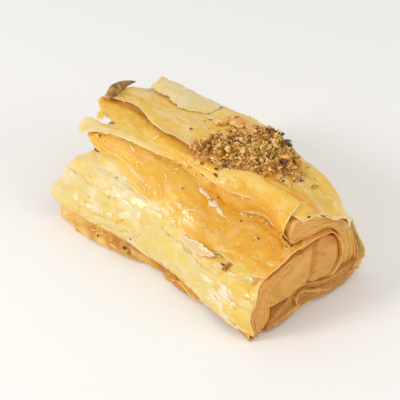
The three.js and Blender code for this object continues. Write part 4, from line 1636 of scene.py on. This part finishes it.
# The heap's outline from above, as (x, y), its height, and how far its bits lie over the sheets' lines.
HEAP_OUTLINE = [
    (0.2, 9.4), (2, 14), (4, 18.6), (8, 20.8), (12, 20.6), (18, 18.8), (22.8, 15.4), (24.6, 9), (22, 3.2),
    (17, 0.8), (11, -1.2), (6, -4.4), (0.6, -3.6), (-3.4, 0.6), (-3, 5.4),
]
HEAP_HIGH = 2.7
TOP_LIFT = 0.5
BED_PITCH = 0.4
# A patch of the top with few bits on it: its middle and half sizes.
BARE_AT, BARE_SIZE = (1.5, 15), (4, 2.4)

# The larger bits by kind: where each lies, as (x, y, height over the sheet), and its half sizes.
CHUNKS = (
    ("pale", (-7.1, 12.7, 0.8), (1.7, 1.3, 1.1)), ("chip", (-4.1, 17.4, 0.6), (2.6, 1.3, 0.7)),
    ("pale", (1.2, 18.4, 0.7), (2.0, 0.9, 0.4)), ("pale", (4.6, 19.2, 0.9), (1.2, 0.8, 0.7)),
    ("pale", (7.0, 1.3, 1.0), (1.0, 1.1, 0.7)), ("pale", (4.6, 7.0, 1.0), (0.7, 1.3, 0.6)),
    ("pale", (12.4, 14.0, 1.2), (1.1, 0.9, 0.7)), ("pale", (16.4, 4.4, 0.9), (1.0, 0.7, 0.6)),
    ("pale", (-5.4, 15.4, 0.3), (1.3, 0.8, 0.3)), ("chip", (-2.5, 14.6, 0.8), (2.6, 1.4, 0.8)),
    ("chip", (3.4, 14.6, 1.1), (2.9, 2.2, 0.5)), ("chip", (0.6, 16.6, 1.0), (2.0, 1.3, 0.8)),
    ("tan", (4.4, -1.8, 0.8), (1.3, 0.9, 0.5)), ("chip", (20.2, 9.9, 1.3), (1.7, 0.9, 0.9)),
    ("tan", (9.4, 12.4, 1.0), (1.0, 0.9, 0.6)), ("tan", (15, 7, 1.0), (1.1, 0.7, 0.6)),
    ("chip", (1.8, 11.2, 0.6), (1.7, 1.2, 0.5)), ("tan", (12.2, 9.4, 1.2), (1.3, 1.0, 0.7)),
    ("brown", (-3.1, 11.5, 0.4), (1.4, 0.5, 0.5)), ("brown", (-1.6, 3.2, 0.5), (1.2, 0.9, 0.6)),
    ("brown", (18.6, 3.6, 0.9), (1.3, 0.9, 0.6)), ("brown", (14.4, 2.2, 1.0), (0.9, 0.8, 0.5)),
    ("brown", (-6.2, 18.4, 0.4), (0.8, 0.5, 0.4)), ("gold", (21.8, 13.4, 1.5), (1.3, 1.7, 2.3)),
    ("green", (-2.8, 8.0, 0.4), (1.1, 0.5, 0.4)), ("green", (11.4, 8.2, 1.2), (0.9, 0.7, 0.6)),
    ("green", (17.2, 11.4, 1.2), (0.8, 0.7, 0.5)), ("green", (6.8, 3.6, 1.0), (0.8, 0.5, 0.5)),
    ("green", (31.4, 10.6, 0.1), (1.4, 0.7, 0.3)), ("green", (12.4, 16.2, 1.4), (1.0, 0.8, 0.7)),
    ("green", (19.4, 7.6, 1.2), (0.8, 0.6, 0.6)), ("green", (6.4, 19.6, 0.9), (0.8, 0.6, 0.5)),
    ("green", (-11.6, 11.2, 0.0), (1.3, 0.6, 0.12)), ("green", (-4.8, 2.4, 0.1), (1.2, 0.5, 0.2)),
    ("skin", (9.9, 19.2, 1.6), (1.7, 1.1, 0.9)), ("skin", (12.8, 18.2, 1.6), (1.5, 1.0, 0.9)),
    ("skin", (8.2, 17.4, 1.2), (1.1, 0.8, 0.5)), ("skin", (20.8, 8.8, 1.5), (1.2, 0.8, 0.7)),
    ("skin", (2.1, 8.4, 0.8), (1.1, 0.6, 0.5)), ("skin", (6.2, 6.3, 1.1), (1.4, 0.7, 0.5)),
    ("skin", (15.4, 16.6, 1.2), (1.2, 0.9, 0.7)), ("skin", (8.8, -2.1, 0.4), (0.7, 0.5, 0.4)),
)
# Stray bits on the leaves, the near side and the foot, as places in millimetres and half sizes.
STRAYS = (
    ("skin", (8.0, -4.8, 30.5), (0.7, 0.4, 0.4)), ("skin", (7.0, -3.6, 31.4), (0.5, 0.4, 0.3)),
    ("brown", (2.0, -4.3, 31.3), (0.9, 0.6, 0.6)), ("skin", (-11.1, 4.0, 32.9), (0.5, 0.35, 0.25)),
    ("skin", (26.2, 7.4, 32.0), (0.7, 0.45, 0.3)), ("skin", (27.5, 9.0, 31.8), (0.6, 0.4, 0.3)),
    ("skin", (39.0, -0.2, 30.2), (0.35, 0.3, 0.25)), ("skin", (-34.3, -11.9, 21.5), (1.3, 0.5, 0.8)),
    ("green", (-10.4, -22.2, 2.6), (1.2, 0.7, 0.8)), ("skin", (-11.6, -22.3, 3.6), (0.4, 0.35, 0.9)),
    ("brown", (26.0, -18.0, 15.4), (1.5, 0.7, 0.8)), ("skin", (24.6, -18.2, 15.7), (0.7, 0.4, 0.4)),
    ("brown", (-21.4, -23.9, 3.4), (0.5, 0.3, 0.3)), ("skin", (-10.3, -21.0, 6.7), (0.3, 0.25, 0.25)),
    ("skin", (19.5, -6.1, 21.6), (0.35, 0.3, 0.2)), ("skin", (-0.3, -9.8, 24.3), (0.35, 0.25, 0.2)),
)
CHUNK_KINDS = ("gold", "pale", "tan", "brown", "green", "skin", "chip")

# The fine bits by kind: their share of the density, the factors on the least and greatest width, how flat
# they are, and how high they pile up in millimetres.
CRUMBS = (
    ("tan", 1.2, 1.0, 0.7, 1.0, 1.0), ("pale", 2.4, 1.0, 0.9, 0.8, 1.4), ("brown", 1.1, 1.0, 0.7, 0.9, 0.9),
    ("green", 1.2, 1.0, 0.8, 0.9, 1.2), ("skin", 0.08, 1.2, 0.8, 0.4, 1.4),
)


def ground(x, y):
    """The height of the top sheets under points (x, y), in millimetres."""
    grid = surface([RIDGE, DIP, MIDDLE, TOP_EDGE, MIDDLE_EDGE], (-38, 38))
    x = np.asarray(x, float)
    y = np.asarray(y, float)
    last = GRID_ALONG - 1
    columns = np.clip(((x - grid[0, 0, 0]) / (grid[0, -1, 0] - grid[0, 0, 0]) * last).astype(int), 0, last)
    z = np.zeros_like(x)
    for j in np.unique(columns):
        here = columns == j
        z[here] = np.interp(y[here], grid[::-1, j, 1], grid[::-1, j, 2])
    return z


def ridge_at(x):
    """Where the top's far edge runs, as y for x."""
    return np.interp(x, *np.array(RIDGE, float)[:, :2].T)


def heap_share(x, y):
    """1 in the thick of the chopped nuts and 0 outside their uneven rim."""
    outline = np.array(HEAP_OUTLINE, float)
    centre = outline.mean(axis=0)
    turns = np.arctan2(outline[:, 1] - centre[1], outline[:, 0] - centre[0])
    order = np.argsort(turns)
    reach = np.hypot(*(outline - centre).T)
    edge = np.interp(np.arctan2(y - centre[1], x - centre[0]), turns[order], reach[order], period=2 * math.pi)
    far = np.hypot(x - centre[0], y - centre[1]) / edge
    far = far + 0.3 * noise(x / 4, y / 4, 130) + 0.22 * noise(x / 1.6, y / 1.6, 131)
    return (1 - step(0.6, 1.0, far)) * (1 - 0.8 * step(-0.6, 0.6, y - ridge_at(x)))


def nut_bed(grow, lift):
    """A patch over the top sheets, heaped by the nuts' share: its points, their shares and its shape."""
    low = np.min(HEAP_OUTLINE, axis=0) - grow
    high = np.max(HEAP_OUTLINE, axis=0) + grow
    spans = [np.arange(first, last, BED_PITCH) for first, last in zip(low, high)]
    x, y = np.meshgrid(*spans, indexing="ij")
    y = np.minimum(y, ridge_at(x) - 0.3 + 0.01 * y)
    share = heap_share(x, y)
    lumps = 0.74 + 0.5 * noise(x / 5, y / 5, 133) + 0.75 * noise(x / 2, y / 2, 134)
    z = ground(x, y) + lift + HEAP_HIGH * share * np.clip(lumps, 0.1, 1.4)
    points = np.stack([x, y, z], axis=-1).reshape(-1, 3)
    return points, share.ravel(), x.shape


def on_top(x, y, lift):
    """A place on the top sheets or the nuts' heap."""
    share = heap_share(np.array([x]), np.array([y]))
    return x, y, float((ground([x], [y]) + 0.8 * HEAP_HIGH * share)[0]) + TOP_LIFT + lift


def chunk(name, at, size, seed):
    """A broken bit of nut: a ball cut by planes."""
    bm = bmesh.new()
    bmesh.ops.create_icosphere(bm, subdivisions=3, radius=1)
    chance = np.random.default_rng(seed)
    planes = chance.normal(size=(7, 3))
    planes /= np.linalg.norm(planes, axis=1, keepdims=True)
    depths = chance.uniform(0.35, 0.7, 7)
    turn = Matrix.Rotation(chance.uniform(0, math.pi), 3, "Z")
    turn = turn @ Matrix.Rotation(chance.uniform(-0.3, 0.3), 3, "X")
    base = Vector(at)
    for vert in bm.verts:
        co = np.array(vert.co)
        for plane, depth in zip(planes, depths):
            co -= max(0, co @ plane - depth) * plane
        co *= 1.25 + 0.12 * float(noise(co[0] * 2 + seed, co[1] * 2, seed))
        vert.co = (turn @ Vector(co * size) + base) * MM
    mesh = bpy.data.meshes.new(name)
    bm.to_mesh(mesh)
    bm.free()
    mesh.polygons.foreach_set("use_smooth", np.zeros(len(mesh.polygons), bool))
    return added(name, mesh)


class BAKLAVA_OT_nut_core(BaklavaStep):
    """Makes the small core of the nuts' heap"""

    bl_idname = "baklava.nut_core"
    bl_label = "Nut heap core"

    def execute(self, context):
        points, share, shape = nut_bed(0.0, 0.4)
        top = points.copy()
        top[:, 2] += np.where(share > 0.05, 0.25 * noise(points[:, 0] / 0.9, points[:, 1] / 0.9, 135), -1.2)
        bottom = points.copy()
        bottom[:, 2] = ground(points[:, 0], points[:, 1]) - 1.6
        obj = mesh_object("nut_core", np.concatenate([top, bottom]), slab(*shape))
        placed(obj, nut("nut_tan"), "nut_heap")
        return {"FINISHED"}


class BAKLAVA_OT_crumbs(BaklavaStep):
    """Scatters the fine chopped nuts of each kind over the heap and a few around it"""

    bl_idname = "baklava.crumbs"
    bl_label = "Nut crumbs"

    def execute(self, context):
        crumbs = context.scene.baklava_crumbs
        tree = scatter_tree()
        points, share, shape = nut_bed(5.0, 0.8)
        x, y = points[:, 0], points[:, 1]
        bare = np.exp(-(((x - BARE_AT[0]) / BARE_SIZE[0]) ** 2) - ((y - BARE_AT[1]) / BARE_SIZE[1]) ** 2)
        share = np.maximum(share * (1 - 0.9 * bare), 0.02 * (y < ridge_at(x) - 1))
        for n, (kind, much, least, most, flat, pile) in enumerate(CRUMBS):
            clumps = step(-0.15, 0.35, noise(x / 2.4, y / 2.4, 150 + n)) if n else 1.0
            bed = mesh_object("bed", points, quads(*shape), {"share": share * (0.15 + 0.85 * clumps)})
            bits = grown(f"crumbs_{kind}", bed, tree, {
                "Density": crumbs.density * much * PER_SQUARE_CM, "Smallest": crumbs.smallest * least,
                "Largest": crumbs.largest * most, "Flatness": flat, "Pile": pile * MM,
                "Seed": crumbs.seed + 10 * n, "Material": nut(f"nut_{kind}"),
            })
            bpy.data.objects.remove(bed)
            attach(bits, BODY)
        return {"FINISHED"}


class BAKLAVA_OT_chunks(BaklavaStep):
    """Lays the larger bits of nut on the heap, and the strays on the sheets"""

    bl_idname = "baklava.chunks"
    bl_label = "Nut chunks"

    def execute(self, context):
        lying = [(kind, on_top(*at), size) for kind, at, size in CHUNKS] + list(STRAYS)
        for kind in CHUNK_KINDS:
            pieces = [
                chunk(f"{kind}_{n}", at, size, 11 * n + len(kind))
                for n, (name, at, size) in enumerate(lying) if name == kind
            ]
            placed(joined(f"chunks_{kind}", pieces), nut(f"nut_{kind}"))
        return {"FINISHED"}


KERNEL_PLACE, KERNEL_LONG, KERNEL_TURN = (-38.5, 1.9, 34.4), 13.0, math.radians(97)
KERNEL_HALF_WIDE, KERNEL_HALF_HIGH, KERNEL_BOW = 1.75, 1.4, 1.3


class BAKLAVA_OT_kernel(BaklavaStep):
    """Lays the long pistachio kernel on the corner"""

    bl_idname = "baklava.kernel"
    bl_label = "Pistachio kernel"

    def execute(self, context):
        along, around = 90, 56
        u, turn = np.meshgrid(
            np.linspace(0.004, 0.996, along), np.linspace(0, 2 * math.pi, around + 1)[:-1], indexing="ij"
        )
        body = np.sin(math.pi * u**0.85) ** 0.65 * (1.14 - 0.4 * u)
        ridge = 1 + 0.10 * noise(turn * 2.2, u * 3, 140) + 0.05 * noise(turn * 5, u * 9, 141)
        bow = KERNEL_BOW * (1 - (2 * u - 1) ** 2)
        x = (u - 0.5) * KERNEL_LONG
        y = KERNEL_HALF_WIDE * body * ridge * np.cos(turn) + bow
        z = KERNEL_HALF_HIGH * body * ridge * np.sin(turn) + 0.5 * bow
        c, s = math.cos(KERNEL_TURN), math.sin(KERNEL_TURN)
        points = np.stack([x * c - y * s, x * s + y * c, z], axis=-1) + KERNEL_PLACE
        tips = points[[0, -1]].mean(axis=1)
        count = along * around
        first = np.arange(around)
        fans = fan(first, count, True) + fan(first + count - around, count + 1, False)
        faces = quads(along, around, ringed=(False, True))[:, FLIPPED]
        points = np.concatenate([points.reshape(-1, 3), tips])
        obj = capped_object("pistachio_kernel_skin", points, faces, fans)
        placed(obj, nut("kernel_skin"), "pistachio_kernel")
        return {"FINISHED"}


# ---------------------------------------------------------------- stage


FLOOR_REACH = 3.0
SKY_COLOUR = (1.0, 0.985, 0.96, 1)
CAMERA_TARGET = Vector((-0.00677, 0.00348, 0.01003))
LAMP_TARGET = Vector((0, 0, 0.015))
SENSOR_WIDTH = 36
# The lamps: where each stands, its width and its colour.
LAMPS = {
    "key": ((-0.2, -0.48, 0.34), 0.2, (1.0, 0.97, 0.92)),
    "fill": ((0.42, 0.12, 0.2), 0.3, (1.0, 0.98, 0.95)),
}


class BAKLAVA_OT_stage(BaklavaStep):
    """Sets the floor, the lights and the camera"""

    bl_idname = "baklava.stage"
    bl_label = "Stage"

    def execute(self, context):
        stage = context.scene.baklava_stage
        mesh = bpy.data.meshes.new("floor")
        corners = [(FLOOR_REACH * x, FLOOR_REACH * y, 0) for x, y in ((-1, -1), (1, -1), (1, 1), (-1, 1))]
        mesh.from_pydata(corners, [], [(0, 1, 2, 3)])
        mesh.materials.append(material_from("pale_floor", floor_skin))
        added("floor", mesh)
        world = bpy.data.worlds.new("pale_sky")
        context.scene.world = world
        world.use_nodes = True
        sky = world.node_tree.nodes["Background"].inputs
        sky["Color"].default_value = SKY_COLOUR
        sky["Strength"].default_value = stage.sky
        for name, lamp in LAMPS.items():
            self.lamp(name, getattr(stage, name), *lamp)
        context.scene.camera = self.camera(stage)
        context.scene.view_settings.view_transform = "Standard"
        context.scene.view_settings.look = "None"
        return {"FINISHED"}

    def lamp(self, name, power, place, size, tone):
        light = bpy.data.lights.new(name, "AREA")
        light.shape = "DISK"
        light.size = size
        light.energy = power
        light.color = tone
        obj = added(name, light)
        obj.location = place
        obj.rotation_euler = (Vector(place) - LAMP_TARGET).to_track_quat("Z", "Y").to_euler()

    def camera(self, stage):
        lens = bpy.data.cameras.new("camera")
        lens.lens = stage.lens
        lens.sensor_width = SENSOR_WIDTH
        lens.clip_start = 0.01
        flat = math.cos(stage.elevation)
        back = Vector((
            math.sin(stage.azimuth) * flat, -math.cos(stage.azimuth) * flat, math.sin(stage.elevation)
        ))
        obj = added("camera", lens)
        obj.location = CAMERA_TARGET + back * stage.distance
        obj.rotation_euler = back.to_track_quat("Z", "Y").to_euler()
        return obj


# ---------------------------------------------------------------- panel and main


class BAKLAVA_PT_panel(bpy.types.Panel):
    """Lists the steps of the build"""

    bl_idname = "BAKLAVA_PT_panel"
    bl_label = "Baklava Piece"
    bl_space_type = "VIEW_3D"
    bl_region_type = "UI"
    bl_category = "Baklava"

    def draw(self, context):
        for operator in STEPS:
            self.layout.operator(operator.bl_idname)


STEPS = (
    BAKLAVA_OT_core, BAKLAVA_OT_layers, BAKLAVA_OT_top_sheets, BAKLAVA_OT_far_wall, BAKLAVA_OT_near_side,
    BAKLAVA_OT_lower_leaf, BAKLAVA_OT_middle_leaf, BAKLAVA_OT_fold, BAKLAVA_OT_crust, BAKLAVA_OT_filling,
    BAKLAVA_OT_nut_core, BAKLAVA_OT_crumbs, BAKLAVA_OT_chunks, BAKLAVA_OT_kernel, BAKLAVA_OT_stage,
)
SETTINGS = {
    "baklava_sheets": BaklavaSheetSettings,
    "baklava_colours": BaklavaColours,
    "baklava_crumbs": BaklavaCrumbSettings,
    "baklava_stage": BaklavaStageSettings,
}


def register():
    for group in SETTINGS.values():
        bpy.utils.register_class(group)
    for operator in (*STEPS, BAKLAVA_PT_panel):
        bpy.utils.register_class(operator)
    for name, group in SETTINGS.items():
        setattr(bpy.types.Scene, name, bpy.props.PointerProperty(type=group))


def unregister():
    for name in SETTINGS:
        delattr(bpy.types.Scene, name)
    for operator in (BAKLAVA_PT_panel, *reversed(STEPS)):
        bpy.utils.unregister_class(operator)
    for group in reversed(SETTINGS.values()):
        bpy.utils.unregister_class(group)


def main():
    register()
    for operator in STEPS:
        section, _, step_name = operator.bl_idname.partition(".")
        getattr(getattr(bpy.ops, section), step_name)()


if __name__ == "__main__":
    main()
